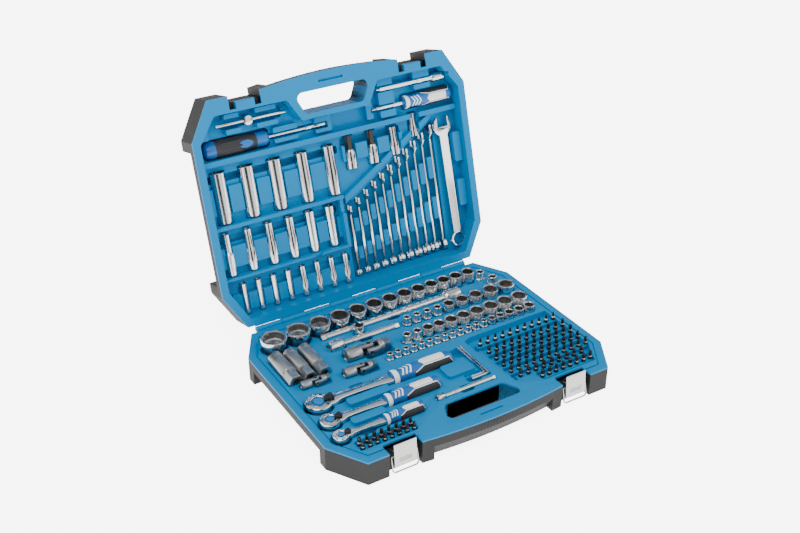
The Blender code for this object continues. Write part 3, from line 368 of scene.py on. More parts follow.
def shell_look(sign, depth, name, body, space, node):
    """The black outside: a band, a taper to the floor, feet, and the recesses round the latches."""
    far, band, near = sign * depth, sign * 15.6, sign * 2.8

    def form(wall):
        end = far - sign * wall
        wide, narrow = inset(OUTLINE, wall), inset(OUTLINE, wall + 12)
        upright = prism(wide, *sorted((near if wall == 0 else 0.0, band)))
        if sign < 0:
            return fuse(upright, prism(wide, end, band + 0.01, narrow))
        return fuse(upright, prism(narrow, band - 0.01, end, wide))

    outer = form(0.0)
    for side in (-1, 1):
        for s, reach in (((283.4, 400), 100.0), ((0, 78), 165.0)):
            block = box(tuple(sorted((side * 480, side * reach))), s, tuple(sorted((sign * 13.6, far))))
            full = prism(OUTLINE, *sorted((far, near)))
            fuse(outer, combine(full, [block], "INTERSECT"))
    inner = form(2.2)
    through = tuple(sorted((far * 1.1, -far)))
    cut(inner, prism(inset(HANDLE, -2.2), *through))
    upper = tuple(sorted((sign * 9.0, -far)))
    for side in (-1, 1):
        cut(inner, notch(side, 335.0, tuple(sorted((sign * 11.2, -far))), 2.2),
            notch(side, 344.5, through, 2.2))
        cut(outer, notch(side, 335.0, upper), notch(side, 344.5, through))
    cut(outer, inner, prism(HANDLE, *through))
    for side in (-1, 1):
        if sign < 0:
            x = side * LATCH_X
            lug = fuse(box((x - 13.5, x + 13.5), (341.5, 349.4), (-10.0, -2.5)),
                       rod(3.0, at(x - 13.5, 349.4, -5.5), at(x + 13.5, 349.4, -5.5), 20))
            cut(lug, rod(1.8, at(x - 14, 349.4, -5.5), at(x + 14, 349.4, -5.5), 16))
            fuse(outer, lug)
    soften(outer, 0.9, 2, 28)
    ribs = []
    for k in range(-11, 12):
        x = k * 5.2
        front = 362.6 - (x / 100) ** 2 * 8
        height = tuple(sorted((sign * 5.0, band + sign * 0.5)))
        rib = box((x - 1.3, x + 1.3), (front - 4, front + 0.7), height)
        ribs.append(paint(soften(rib, 0.4), SHELL))
    outer = bundle([paint(outer, SHELL)] + ribs, "shell")
    return place(outer, name, body, space, "case_black", node)


shell_look(-1, 38.0, "look_base_shell", "case_base", BASE, "base_shell")
shell_look(1, 48.0, "look_lid_shell", "lid", LID, "lid_shell")

# %% [markdown]
# ## The base tray
#
# Its seats follow the tools, as a moulded tray's do: a round seat for each socket, a trough for each bar,
# shaped wells for the ratchets. Cutting them from one block and rounding every edge together gives the
# even, soft edges of moulding.

# %% Socket places in the base
HALF_OD = [40, 38, 34, 32, 29, 28, 26, 25, 24, 22, 22, 21.5, 21.5]
STAR_OD = [14, 14, 15, 16, 19, 22, 23, 26, 27]
THREE_OD = [16, 17, 18, 19, 21, 22, 24, 25, 26, 26]
QUARTER_OD = [11.5] * 9 + [12, 12, 12.5, 12.5, 13, 13.5, 16, 17, 18]


def row_centres(diameters, x, s, lean, gap):
    centres = []
    for i, diameter in enumerate(diameters):
        if i:
            x += (diameters[i - 1] + diameter) / 2 + gap
        centres.append((x, s + lean * (diameter - diameters[-1])))
    return centres


ROWS = {
    "half_inch": (HALF_OD, row_centres(HALF_OD, -190.4, 47.4, 0.6, 1.9), 17.0, 37.5),
    "star": (STAR_OD, row_centres(STAR_OD, 12.6, 105.0, 0.0, 4.0), 12.5, 26.0),
    "three_eighths": (THREE_OD, row_centres(THREE_OD, -12.3, 145.5, 0.0, 1.7), 13.5, 27.0),
    "quarter_inch": (QUARTER_OD, row_centres(QUARTER_OD, -57.5, 171.0, 0.0, 2.3), 9.6, 23.0),
}
RATCHETS = {
    "half": (-199.5, 216.0, 19.0, (-84.0, 19.0), 13.6, 12.7),
    "three_eighths": (-204.5, 258.5, 14.5, (-119.0, -30.0), 11.8, 9.5),
    "quarter": (-207.5, 294.5, 11.5, (-141.0, -78.0), 9.4, 6.35),
}
SWIVELS = {
    "half": (-113.5, -39.5, 138.0, 12.0, 12.7),
    "three_eighths": (-135.6, -82.6, 174.0, 8.6, 9.5),
    "quarter": (-201.8, -156.8, 167.5, 7.0, 6.35),
}
BARS = {
    "extension_250": (-121, 129, 74.5, 1.0, 5.6, 10.5, 30, False),
    "extension_125": (-122, -2, 103.6, 1.0, 5.2, 10.2, 25, True),
    "extension_quarter": (-52, 47, 289.0, 0.5, 3.4, 5.6, 14, True),
}
LID_BAR = (82, 207, 313.0, 20.0, 4.4, 7.0, 25, False)
PLUGS = [(-203.0, 12.0), (-180.0, 10.4), (-156.5, 10.4)]

# %% Base tray
def trough(x, s, h, radius, sides=20):
    """A half-round trough along x, with its mouth opened straight up."""
    lower = rod(radius, at(x[0], s, h), at(x[1], s, h), sides)
    if h < 2:
        upper = box(x, (s - radius, s + radius), (h, 6))
        return fuse(lower, upper)
    return lower


KNUCKLES = 9
HINGE_ENDS = (-193.0, 190.0)


def barrels(first, web):
    """Every other knuckle of the hinge with its web, and a lip of the tray along the knuckles between."""
    made = []
    length = (HINGE_ENDS[1] - HINGE_ENDS[0]) / KNUCKLES
    for k in range(KNUCKLES):
        x0 = HINGE_ENDS[0] + k * length + 0.3
        x1 = HINGE_ENDS[0] + (k + 1) * length - 0.3
        if k % 2 == first:
            barrel = fuse(rod(4.5, at(x0, 0, 0), at(x1, 0, 0), 24), box((x0, x1), (0, 9.7), web))
            cut(barrel, rod(1.9, at(x0 - 2, 0, 0), at(x1 + 2, 0, 0), 16))
            made.append(paint(soften(barrel, 0.3), BLUE))
        else:
            made.append(paint(box((x0, x1), (4.9, 9.7), web), BLUE))
    return made


def base_tray_look():
    block = prism(OUTLINE, -2.5, 0.0)
    fuse(block, prism(inset(OUTLINE, 16), -30.0, -2.0))
    cut(block, prism(HANDLE, -40, 5))
    for side in (-1, 1):
        cut(block, notch(side, 335.0, (-40, 6), 0.0))
    cuts = []
    # a thin groove just inside the rim, drawn as short channels
    edge = inset(OUTLINE, 12.0)
    inner = inset(OUTLINE, 14.2)
    ring = prism(edge, -1.8, 2.0)
    cut(ring, prism(inner, -3.0, 4.0))
    cut(ring, box((-116, 116), (290, 400), (-5, 5)))
    cuts.append(ring)
    # recessed land under the half-inch row and under the rows in front of it
    cuts.append(slab((-213, 174), (34.5, 62.0), (-2.2, 4), 8))
    for diameters, centres, top, tall in ROWS.values():
        spare = 0.7
        floor = top - tall - 0.6
        for d, (x, s) in zip(diameters, centres):
            cuts.append(rod(d / 2 + spare, at(x, s, floor), at(x, s, 6), 28, d / 2 + spare + 0.5))
    xs = [c[0] for c in ROWS["star"][1]]
    cuts.append(slab((xs[0] - 9, xs[-1] + 15), (97, 114.5), (-2.5, 4), 6))
    xs = [c[0] for c in ROWS["three_eighths"][1]]
    cuts.append(slab((xs[0] - 10, xs[-1] + 14), (138, 154), (-2.5, 4), 6))
    xs = [c[0] for c in ROWS["quarter_inch"][1]]
    cuts.append(slab((xs[0] - 7, xs[-1] + 10), (166.5, 176), (-2.5, 4), 4))
    for x, s, r, grip, grip_r, drive in RATCHETS.values():
        cuts.append(rod(r + 2.5, at(x, s, -27), at(x, s, 6), 32, r + 3.5))
        cuts.append(slab((x + r * 0.4, grip[0] + 4), (s - r * 0.62, s + r * 0.62), (-12, 6), 3, 1.5))
        cuts.append(slab((grip[0] - 2, grip[1] + 2), (s - grip_r - 0.4, s + grip_r + 0.4), (-grip_r - 2, 6),
                         9, 2))
        # finger well beside the shank
        mid = (x + r + grip[0]) / 2
        cuts.append(slab((mid - 14, mid + 14), (s - r * 0.95, s + r * 0.95), (-14, 6), 8, 2))
    for left, right, s, r, drive in SWIVELS.values():
        mid = left + (right - left) * 0.52
        swing = (right - mid) * math.sin(math.radians(13)) + r
        cuts.append(slab((left - 2, mid + 2), (s - r - 0.7, s + r + 0.7), (3 - r - 1.2, 6), 3, 1.0))
        cuts.append(slab((mid - r, right + 2), (s - swing, s + swing), (3 - r - 1.2, 6), 6, 1.0))
    for x0, x1, s, h, r, end_r, end, left in BARS.values():
        cuts.append(slab((x0 - 1.5, x1 + 1.5), (s - r - 0.8, s + r + 0.8), (h - r - 1.0, 6), 2, 0.8))
        span = (x0 - 1.6, x0 + end + 1) if left else (x1 - end - 1, x1 + 1.6)
        cuts.append(slab(span, (s - end_r - 0.6, s + end_r + 0.6), (h - end_r - 1.0, 6), 3, 1.2))
        mid = (x0 + x1) / 2
        cuts.append(slab((mid - 13, mid + 13), (s - r - 5, s + r + 5), (-8, 6), 7, 1.5))
    for x, r in PLUGS:
        cuts.append(slab((x - r - 0.8, x + r + 0.8), (84.5, 157.5), (3 - r - 1.2, 6), 4, 1.2))
    cuts.append(slab((-210, -150), (108, 128), (-10, 6), 8, 1.5))
    cuts.append(rod(8.8, at(-63, 89.2, -16), at(-63, 89.2, 6), 28, 9.6))
    # hexagon keys
    cuts.append(slab((36.5, 48.5), (199, 280), (-3.7, 6), 2, 0.5))
    cuts.append(slab((10, 48.5), (262, 280), (-3.7, 6), 2, 0.5))
    cuts.append(slab((24, 50), (200, 224), (-11, 6), 8, 2))
    cuts.append(slab((8, 34), (266, 283), (-11, 6), 7, 2))
    # bit field and racks
    field = slab((67, 226), (187, 312), (-9.0, 6), 4, 1.0)
    cuts.append(combine(field, [prism(inset(OUTLINE, 19.0), -40, 20)], "INTERSECT"))
    cuts.append(slab((60, 80), (190, 225), (-9.0, 6), 4, 1.0))
    cuts.append(slab((102, 200), (306, 331), (-9.0, 6), 4, 1.0))
    cuts.append(slab((-198, -107), (309, 330.5), (-9.0, 6), 4, 1.0))
    cuts.append(slab((-20, 18), (347.2, 350.8), (-2.2, 4), 1.6, 0.2))
    # small stepped sockets at the far end of the half-inch row
    cuts.append(rod(9.0, at(186, 52.5, -10), at(186, 52.5, 6), 28))
    cuts.append(rod(9.0, at(195, 75.0, -10), at(195, 75.0, 6), 28))
    cut(block, *cuts)
    ridges = []
    for x, s, h in (((-166, -98), (229.5, 245), 7.0), ((-181, -128), (268, 283), 6.0),
                    ((-13, 33), (233, 262), 5.5)):
        ridges.append(slab(x, s, (-1.0, h), 5.0, 1.2))
    fuse(block, *ridges)
    soften(block, 0.7, 2, 30)
    tray = bundle([paint(block, BLUE)] + barrels(0, (-2.4, -0.06)), "tray")
    return place(tray, "look_base_tray", "case_base", BASE, "case_blue", "base_tray")


base_tray_look()

# %% [markdown]
# ## The lid tray
#
# The lid holds its tools lying flat, so its seats are troughs between raised blocks. The recess is cut
# first; blocks, shelves, dividers and pegs are added back; then the troughs are cut through them.

# %% Lid tray
DEEP_HALF = ([24, 24, 23, 20, 19], -197.8, 46.2, (167.0, 245.0), 17.0)
DEEP_THREE = ([11, 12, 13, 14, 16, 17], -204.3, 35.4, (87.0, 152.0), 17.8)
DEEP_QUARTER = ([9.5] * 4 + [9, 8.5, 8.5, 8.5], -190.3, 25.3, (21.0, 69.0), 22.0)
BIT_SOCKET = ([18, 18, 18], 24.5, 40.0, (200.0, 254.0), 17.0)
SMALL_BIT_SOCKET = (144.0, (226.0, 264.0), 15.0, 19.0)


def lid_tray_look():
    block = prism(OUTLINE, 0.3, 2.8)
    fuse(block, prism(inset(OUTLINE, 10.5), 2.0, 34.0, inset(OUTLINE, 10.5)))
    fuse(block, prism(inset(OUTLINE, 15.5), 33.0, 45.3, inset(OUTLINE, 13.0)))
    cut(block, prism(inset(HANDLE, 0.0), -5, 60))
    for side in (-1, 1):
        cut(block, notch(side, 335.0, (-6, 60)))
        x = side * LATCH_X
        keeper = box((x - 15, x + 15), (335.3, 345.5), (0.3, 8.7))
        fuse(keeper, box((x - 15, x + 15), (333, 337), (0.3, 2.8)))
        for k in range(-3, 4):
            cut(keeper, box((x + k * 4 - 0.5, x + k * 4 + 0.5), (344.6, 350), (-1, 10)))
        fuse(block, keeper)
    recess = [(197, 18.7), (223, 68), (223, 293), (195, 331), (78, 331), (58, 296)]
    recess = recess + [(-x, s) for x, s in reversed(recess)]
    recess = rounded(recess, 4, 3)
    cut(block, prism(recess, -1.0, 28.0))
    adds = []

    def add(x, s, h0):
        adds.append(slab(x, s, (h0, 29.0), 2.0, 0.0))

    # shelves across the left, the divider, and the shelf under the drivers
    add((-222.5, -5), (81.4, 85.4), 9.0)
    add((-222.5, -5), (160, 165.5), 10.4)
    add((-222.5, 222.5), (256, 264), 14.6)
    add((-12, -6), (83, 137), 9.0)
    add((-12, -6), (136, 165), 14.2)
    # blocks that hold the rows
    add((-210, -6), (26, 56), 24.0)
    add((-222, -12), (98, 131), 21.0)
    add((-222, -4), (181, 222), 23.0)
    add((10, 120), (213, 240), 22.0)
    # blocks round the long tools
    corner = slab((-222, -205), (296, 325), (12.0, 29.0), 2.0, 0.0)
    adds.append(combine(corner, [prism(inset(OUTLINE, 12.0), -10, 60)], "INTERSECT"))
    add((-176, -152), (298, 328), 13.0)
    add((-126, -92), (298, 328), 13.0)
    add((-100, -60), (268, 292), 20.0)
    add((-30, -2), (268, 292), 20.0)
    add((84, 112), (268, 330), 16.0)
    add((150, 180), (300, 330), 15.0)
    add((60, 72), (270, 296), 18.0)
    fuse(block, *adds)
    diagonal = prism([(0.5, 148), (6, 152), (176, 250), (182, 250), (182, 256), (170, 256), (0.5, 160)], 19.0,
                     29.0)
    fuse(block, diagonal)
    pegs = []
    for i in range(11):
        x = 8.7 + 16.5 * i + 8.25
        if i < 10:
            s0 = 52 + 3.2 * i
            pegs.append(slab((x - 4.4, x + 4.4), (s0, s0 + 20 + 1.9 * i), (24.5, 30), 2.0, 0.0))
            s1 = 98 + 5.7 * i
            pegs.append(slab((x - 4.4, x + 4.4), (s1, s1 + 22 + 1.6 * i), (24.5, 30), 2.0, 0.0))
    pegs.append(slab((207, 222), (94, 139), (13.2, 30), 3.0, 0.0))
    pegs.append(slab((207, 222), (170, 219), (11.0, 30), 3.0, 0.0))
    cuts = []
    cuts.append(box((0.7, 179.7), (22.4, 150), (26.0, 43.3)))
    far = 23.8 + 118 + 9.6 * ((179.7 + 4.4 - 8.7) / 16.5)
    near = 23.8 + 118 + 9.6 * ((0.7 + 4.4 - 8.7) / 16.5)
    cuts.append(prism([(0.7, 22.4), (179.7, 22.4), (179.7, far), (0.7, near)], 20.0, 43.3))
    for ods, x0, pitch, (s0, s1), top in (DEEP_HALF, DEEP_THREE, DEEP_QUARTER, BIT_SOCKET):
        for i, d in enumerate(ods):
            x = x0 + i * pitch
            h = top + d / 2
            lower = rod(d / 2 + 0.6, at(x, s0 - 1.5, h), at(x, s1 + 1.5, h), 24)
            cuts.append(fuse(lower, box((x - d / 2 - 0.6, x + d / 2 + 0.6), (s0 - 1.5, s1 + 1.5), (-2, h))))
        # finger trough in front of the blocks
        last = x0 + (len(ods) - 1) * pitch
        reach = max(ods) / 2 + 5
        cuts.append(slab((x0 - reach, last + reach), (s1 - 16, s1 - 4), (-2, min(top + max(ods) + 1, 41)), 3,
                         0.0))
    x, (s0, s1), d, top = SMALL_BIT_SOCKET
    cuts.append(slab((x - d / 2 - 1, x + d / 2 + 1), (s0 - 3, s1 + 2), (-2, top + d), 3, 0.0))
    cuts.append(rod(3.5, at(-191.5, 313, 17), at(-75, 313, 17), 20))
    cuts.append(box((-191.5, -75), (309.5, 316.5), (-2, 17)))
    cuts.append(slab((-180, -80), (305, 321), (-2, 32.5), 3, 0.0))
    x0, x1, s, h, r, end_r, end, left = LID_BAR
    cuts.append(box((x0 - 1.5, x1 + 1.5), (s - r - 0.6, s + r + 0.6), (-2, h + r + 0.8)))
    cuts.append(box((x1 - end - 1.5, x1 + 1.5), (s - end_r - 0.6, s + end_r + 0.6), (-2, h + end_r + 0.8)))
    cuts.append(slab((-213, -105), (264, 294), (-2, 43.4), 6, 0.0))
    cuts.append(box((-106, -8.5), (274.0, 284.0), (-2, 34.2)))
    cuts.append(slab((126.5, 219), (270.5, 296.5), (-2, 34.3), 6, 0.0))
    cuts.append(box((69, 128.5), (278.5, 288.5), (-2, 25.9)))
    cuts.append(slab((174, 222.9), (64, 253), (-2, 23.8), 3, 0.0))
    cuts.append(combine(rod(14.2, at(197, 39.4, -2), at(197, 39.4, 23.8), 32),
                        [prism(inset(OUTLINE, 12.0), -10, 60)], "INTERSECT"))
    cuts.append(box((188, 206), (39.4, 66), (-2, 23.8)))
    # room for the drive adapter, which stands tallest in the base
    cuts.append(rod(8.8, at(-63, 89.2, -2), at(-63, 89.2, 15.8), 28))
    cut(block, *cuts)
    fuse(block, *pegs)
    cut(block, slab((-22, 20), (347.2, 350.8), (-3, 3.2), 1.6, 0.0))
    soften(block, 0.7, 2, 30)
    tray = bundle([paint(block, BLUE)] + barrels(1, (0.36, 2.7)), "tray")
    return place(tray, "look_lid_tray", "lid", LID, "case_blue", "lid_tray")


lid_tray_look()

# %% [markdown]
# ## Sockets
#
# Each socket is turned: a chamfered mouth, a hexagon or star bore that goes dark inside, a wall, and a
# narrower drive end on the wide ones. Making the bore from hexagonal rings keeps the mesh closed.

# %% Socket shapes
def standing_socket(x, s, d, top, tall, bore="hex", stepped=False):
    r = d / 2
    low = top - tall
    foot = min(r, 13.2)
    across = r * (0.70 if bore == "hex" else 0.76)
    rings = [("circle", 0, low), ("circle", foot - 0.5, low), ("circle", foot, low + 0.5)]
    if foot < r:
        rings += [("circle", foot, 9.5 - (r - foot) * 0.5), ("circle", r, 9.5)]
    if stepped:
        ring_h = 1.2
        neck = r * 0.80
        rings += [("circle", r, ring_h - 0.6), ("circle", r - 0.5, ring_h),
                  ("circle", neck + 0.4, ring_h + 0.1),
                  ("circle", neck, ring_h + 0.8), ("circle", neck, top - 0.5), ("circle", neck - 0.5, top)]
        across = neck * 0.72
    else:
        rings += [("circle", r, top - 0.8), ("circle", r - 0.25, top - 0.3), ("circle", r - 0.8, top)]
    outside = lathe(rings + [("circle", across * 1.17 + 0.2, top)], at(x, s, 0), (0, 0, 1), 36)
    paint(outside, CHROME)
    deep = tall * 0.62
    inside = lathe([("circle", across * 1.17 + 0.2, top), (bore, across, top - 1.0),
                    (bore, across, top - deep),
                    ("circle", across * 0.7, top - deep - 0.5), ("circle", 0, top - deep - 0.5)],
                   at(x, s, 0), (0, 0, 1), 36)
    paint(inside, BORE)
    return [outside, inside]


def socket_row_look(key, node, bore="hex", stepped_below=0.0):
    diameters, centres, top, tall = ROWS[key]
    made = []
    for d, (x, s) in zip(diameters, centres):
        rise = 0.0
        if key == "half_inch":
            rise = 0.12 * (d - 21.5)
        made += standing_socket(x, s, d, top + rise, tall + rise, bore, d < stepped_below)
    return place(bundle(made, node), "look_" + node, "case_base", BASE, "chrome", node)


socket_row_look("half_inch", "half_inch_socket_row", "twelve")
socket_row_look("star", "star_socket_row", "star", 18.0)
socket_row_look("three_eighths", "three_eighths_socket_row", "twelve", 17.5)
socket_row_look("quarter_inch", "quarter_inch_socket_row", "hex", 12.8)
small = standing_socket(186, 52.5, 17, 12.0, 20.0, "star", True)
small += standing_socket(195, 75.0, 17, 12.0, 20.0, "star", True)
place(bundle(small, "small_sockets"), "look_small_sockets", "case_base", BASE, "chrome")


def lying_socket(x, s, d, h, step_r=None):
    """A deep socket on its side along s: drive end at the far end, mouth at the near end."""
    s0, s1 = s
    length = s1 - s0
    r = d / 2
    neck = step_r or r
    rings = [("circle", 0, 0.0), ("circle", neck * 0.55, 0.0), ("circle", neck - 0.7, 0.0),
             ("circle", neck, 0.7),
             ("circle", neck, length * 0.16), ("circle", neck - 0.35, length * 0.165),
             ("circle", neck - 0.35, length * 0.19), ("circle", neck, length * 0.195)]
    if step_r:
        rings += [("circle", neck, length * 0.5), ("circle", r, length * 0.56)]
    rings += [("circle", r, length - 0.8), ("circle", r - 0.7, length), ("circle", r * 0.78, length)]
    outside = paint(lathe(rings, at(x, s0, h), (0, -1, 0), 32), CHROME)
    inside = paint(lathe([("circle", r * 0.78, length), ("hex", r * 0.66, length - 1.2),
                          ("hex", r * 0.66, length * 0.55), ("circle", 0, length * 0.55)],
                         at(x, s0, h), (0, -1, 0), 32), BORE)
    return [outside, inside]


def lying_row_look(group, node, steps):
    ods, x0, pitch, s, top = group
    made = []
    for i, d in enumerate(ods):
        made += lying_socket(x0 + i * pitch, s, d, top + d / 2, steps(i, d))
    return place(bundle(made, node), "look_" + node, "lid", LID, "chrome", node)


lying_row_look(DEEP_HALF, "deep_half_inch_socket_row", lambda i, d: None if d > 21 else 10.5)
lying_row_look(DEEP_THREE, "deep_three_eighths_socket_row", lambda i, d: 8.0 if d < 15 else None)
lying_row_look(DEEP_QUARTER, "deep_quarter_inch_socket_row", lambda i, d: 5.6 if i > 3 else None)


def bit_socket_look(x, s, r, h, kind):
    """A drive body with a bit in its upper end, or a plain tapered one."""
    s0, s1 = s
    length = s1 - s0
    body = length * 0.56
    rings = [("circle", 0, 0.0), ("circle", r - 0.7, 0.0), ("circle", r, 0.7), ("circle", r, body * 0.36),
             ("circle", r - 0.4, body * 0.38), ("circle", r - 0.4, body * 0.46), ("circle", r, body * 0.48)]
    if kind == "bit":
        rings += [("circle", r, body * 0.8), ("circle", r * 0.72, body), ("circle", 0, body)]
        tip = lathe([("circle", 0, body - 1), ("star", r * 0.58, body - 1), ("star", r * 0.58, length - 1),
                     ("star", r * 0.45, length), ("circle", 0, length)], at(x, s0, h), (0, -1, 0), 36)
        return [paint(lathe(rings, at(x, s0, h), (0, -1, 0), 36), CHROME), paint(tip, BIT)]
    rings += [("circle", r, body * 0.7), ("circle", r * 0.78, body), ("circle", r * 0.72, length - 0.6),
              ("circle", r * 0.6, length), ("circle", 0, length - 0.2)]
    return [paint(lathe(rings, at(x, s0, h), (0, -1, 0), 36), CHROME)]


made = []
for x, s, kind in ((24.5, (200, 254), "bit"), (64.5, (200, 254), "bit"), (104.5, (205, 250), "plain")):
    made += bit_socket_look(x, s, 9.0, 26.0, kind)
place(bundle(made, "bit_sockets"), "look_bit_socket_row", "lid", LID, "chrome", "bit_socket_row")
x, s, d, top = SMALL_BIT_SOCKET
place(bundle(bit_socket_look(x, s, d / 2, top + d / 2, "plain"), "small"), "look_small_bit_socket", "lid",
      LID, "chrome")

# %% [markdown]
# ## Ratchets
#
# The steel part is a round head on a tapering flat shank. The grip is one closed skin, round in section,
# whose colours are set face by face: a white collar, blue with three white chevrons, a white panel on
# top, and black rubber sides with a white edge. Painting faces keeps each border crisp at any distance.

# %% Grips
def grip_skin(x0, x1, s, h, radius, body_colour, name):
    """A two-part grip along x. Its skin is fine enough for each colour's border to be smooth."""
    length = x1 - x0
    along, round_about = 150, 96
    profile = [(0.0, 0.70), (0.015, 0.84), (0.05, 0.90), (0.12, 0.80), (0.2, 0.80), (0.34, 0.92), (0.5, 0.98),
               (0.66, 1.0), (0.82, 0.98), (0.93, 0.92), (0.985, 0.80), (1.0, 0.6)]

    def reach(t):
        for (a, ra), (b, rb) in zip(profile, profile[1:]):
            if t <= b:
                k = (t - a) / (b - a)
                k = k * k * (3 - 2 * k)
                return ra + (rb - ra) * k
        return profile[-1][1]

    def rubber_edge(t):
        """How far the black side reaches up from the middle, as an angle, at t along the grip."""
        if t < 0.34:
            return -1.0
        rise = min(1.0, (t - 0.34) / 0.16)
        fall = min(1.0, max(0.0, (0.985 - t) / 0.06))
        return (18 + 30 * rise) * fall

    bm = bmesh.new()
    loops = []
    for i in range(along + 1):
        t = i / along
        r = radius * reach(t)
        loop = []
        for j in range(round_about):
            a = math.tau * j / round_about
            up = math.degrees(math.asin(max(-1, min(1, abs(math.sin(a))))))
            rr = r
            edge = rubber_edge(t)
            if edge > 0 and up < edge:
                rr = r * 1.025
                if 0.5 < t < 0.92 and up < edge * 0.72:
                    rr = r * (1.0 if int(t * 75) % 3 == 0 else 1.03)
            loop.append(bm.verts.new((x0 + t * length, -s + rr * math.cos(a), h + rr * math.sin(a))))
        loops.append(loop)
    mats = [body_colour, WHITE, RUBBER]
    for i in range(along):
        t = (i + 0.5) / along
        for j in range(round_about):
            k = (j + 1) % round_about
            face = bm.faces.new((loops[i][j], loops[i][k], loops[i + 1][k], loops[i + 1][j]))
            a = math.tau * (j + 0.5) / round_about
            up = math.degrees(math.asin(abs(math.sin(a))))
            top = math.sin(a) > 0
            off = abs(math.degrees(math.acos(max(-1, min(1, math.sin(a))))))
            index = 0
            if 0.02 < t < 0.10:
                index = 1
            for c in (0.155, 0.215, 0.275):
                peak = c + 0.045 * max(0.0, 1 - off / 55)
                if top and off < 52 and peak - 0.012 < t < peak + 0.016:
                    index = 1
            if top and 0.46 < t < 0.86 and off < 30 and (t - 0.46) > off / 30 * 0.05:
                index = 1
            edge = rubber_edge(t)
            if edge > 0:
                if up < edge:
                    index = 2
                elif up < edge + 7 and t > 0.36:
                    index = 1
            face.material_index = index
    for loop, flip in ((loops[0], True), (loops[-1], False)):
        bm.faces.new(list(reversed(loop)) if flip else loop)
    obj = new_object(name, bm)
    for mat in mats:
        obj.data.materials.append(mat)
    return obj


# %% Ratchets
def ratchet_look(size, x, s, r, grip, grip_r, drive):
    thick = r * 2 * 0.62 * 0.62
    top, low = 8.0, 8.0 - thick
    middle = (top + low) / 2
    core = r * 0.58
    button = r * 0.40
    shank_r = r * 0.34
    base = f"ratchet_{size}"
    head = lathe([("circle", core + 0.1, top - 0.4), ("circle", core + 0.6, top), ("circle", r * 0.9, top),
                  ("circle", r * 0.96, top - 0.5), ("circle", r, top - 1.6), ("circle", r, low + 1.4),
                  ("circle", r * 0.92, low), ("circle", core + 0.1, low), ("circle", core + 0.1, top - 0.4)],
                 at(x, s, 0), (0, 0, 1), 64)
    neck = []
    stations = [(r * 0.72, r * 0.60, thick / 2 - 0.7), (r * 1.1, r * 0.62, thick / 2 - 0.7),
                (r * 1.7, r * 0.46, shank_r * 1.08),
                (r * 2.3, r * 0.38, shank_r * 0.96),
                ((r * 2.3 + grip[0] - x - r) / 2, r * 0.38, shank_r * 0.95),
                (grip[0] - x - r, r * 0.47, shank_r * 0.94),
                (grip[0] - x - r * 0.3, r * 0.53, shank_r * 0.92),
                (grip[0] - x + 6, r * 0.53, shank_r * 0.9)]
    bm = bmesh.new()
    loops = []
    for along, half_s, half_h in stations:
        loop = []
        for j in range(28):
            a = math.tau * j / 28
            c, n = math.cos(a), math.sin(a)
            power = 0.55
            loop.append(bm.verts.new((x + along, -s + half_s * math.copysign(abs(c) ** power, c),
                                      middle + half_h * math.copysign(abs(n) ** power, n))))
        loops.append(loop)
    for one, two in zip(loops, loops[1:]):
        for j in range(28):
            k = (j + 1) % 28
            bm.faces.new((one[j], one[k], two[k], two[j]))
    bm.faces.new(list(reversed(loops[0])))
    bm.faces.new(loops[-1])
    neck = new_object("neck", bm)
    parts = [paint(head, CHROME), paint(neck, CHROME)]
    for a in (55, 180, 305):
        spot = at(x + r * 0.79 * math.cos(math.radians(a)), s + r * 0.79 * math.sin(math.radians(a)),
                  top - 0.1)
        parts.append(paint(rod(r * 0.085, spot, spot + Vector((0, 0, 0.35)), 16, soft=0.1), BLACK))
    place(bundle(parts, base), f"look_{base}_body", base, BASE, "bright_steel", f"{base}_body")
    handle = grip_skin(grip[0], grip[1], s, middle, grip_r * 0.985, GRIP, base)
    place(handle, f"look_{base}_grip", base, BASE, "grip_blue", f"{base}_grip", sharp=45)
    half = drive / 2
    ring = lathe([("circle", 0, low - 1), ("circle", core - 0.3, low - 1), ("circle", core - 0.3, top - 1.4),
                  ("circle", core - 0.8, top - 1.0), ("circle", button + 0.5, top - 1.0),
                  ("circle", button, top - 1.4),
                  ("circle", button, top - 7.0), ("circle", 0, top - 7.0)], at(x, s, 0), (0, 0, 1), 48)
    square = soften(box((x - half, x + half), (s - half, s + half), (low - 1 - drive * 0.85, low)),
                    drive * 0.06)
    ball = lathe([("circle", 0, -drive * 0.12), ("circle", drive * 0.12, 0), ("circle", 0, drive * 0.12)],
                 at(x + half - 0.4, s, low - 1 - drive * 0.45), (1, 0, 0), 12)
    place(bundle([paint(ring, CHROME), paint(square, CHROME), paint(ball, STEEL)], base),
          f"look_{base}_drive",
          f"{base}_drive", BASE, "chrome", f"{base}_drive")
    push = lathe([("circle", 0, top - 4.0), ("circle", button - 0.3, top - 4.0),
                  ("circle", button - 0.3, top + 0.2),
                  ("circle", button - 0.7, top + 0.8), ("circle", button * 0.6, top + 1.15),
                  ("circle", 0, top + 1.2)],
                 at(x, s, 0), (0, 0, 1), 36)
    place(paint(push, BUTTON), f"look_{base}_button", f"{base}_release_button", BASE, "button_blue",
          f"{base}_release_button")
    lx, wing = x + r * 0.8, r * 0.42
    lever = prism(rounded([(lx - wing * 0.75, s - wing * 0.35), (lx + wing * 0.9, s - wing),
                           (lx + wing * 0.9, s + wing),
                           (lx - wing * 0.75, s + wing * 0.35)], wing * 0.2, 3), top + 0.3, top + 3.0)
    fuse(lever, rod(r * 0.075, at(lx, s, top - 2.4), at(lx, s, top + 1), 12))
    soften(lever, 0.35)
    place(paint(lever, BLACK), f"look_{base}_lever", f"{base}_reverse_lever", BASE, "black_steel",
          f"{base}_reverse_lever")


for size, values in RATCHETS.items():
    ratchet_look(size, *values)

# %% [markdown]
# ## Bars, joints and drivers
#
# Straight tools are turned from circles, squares and knurled bands. The universal joints keep the solids'
# own forks and cross, because those fit each other, with their edges rounded.

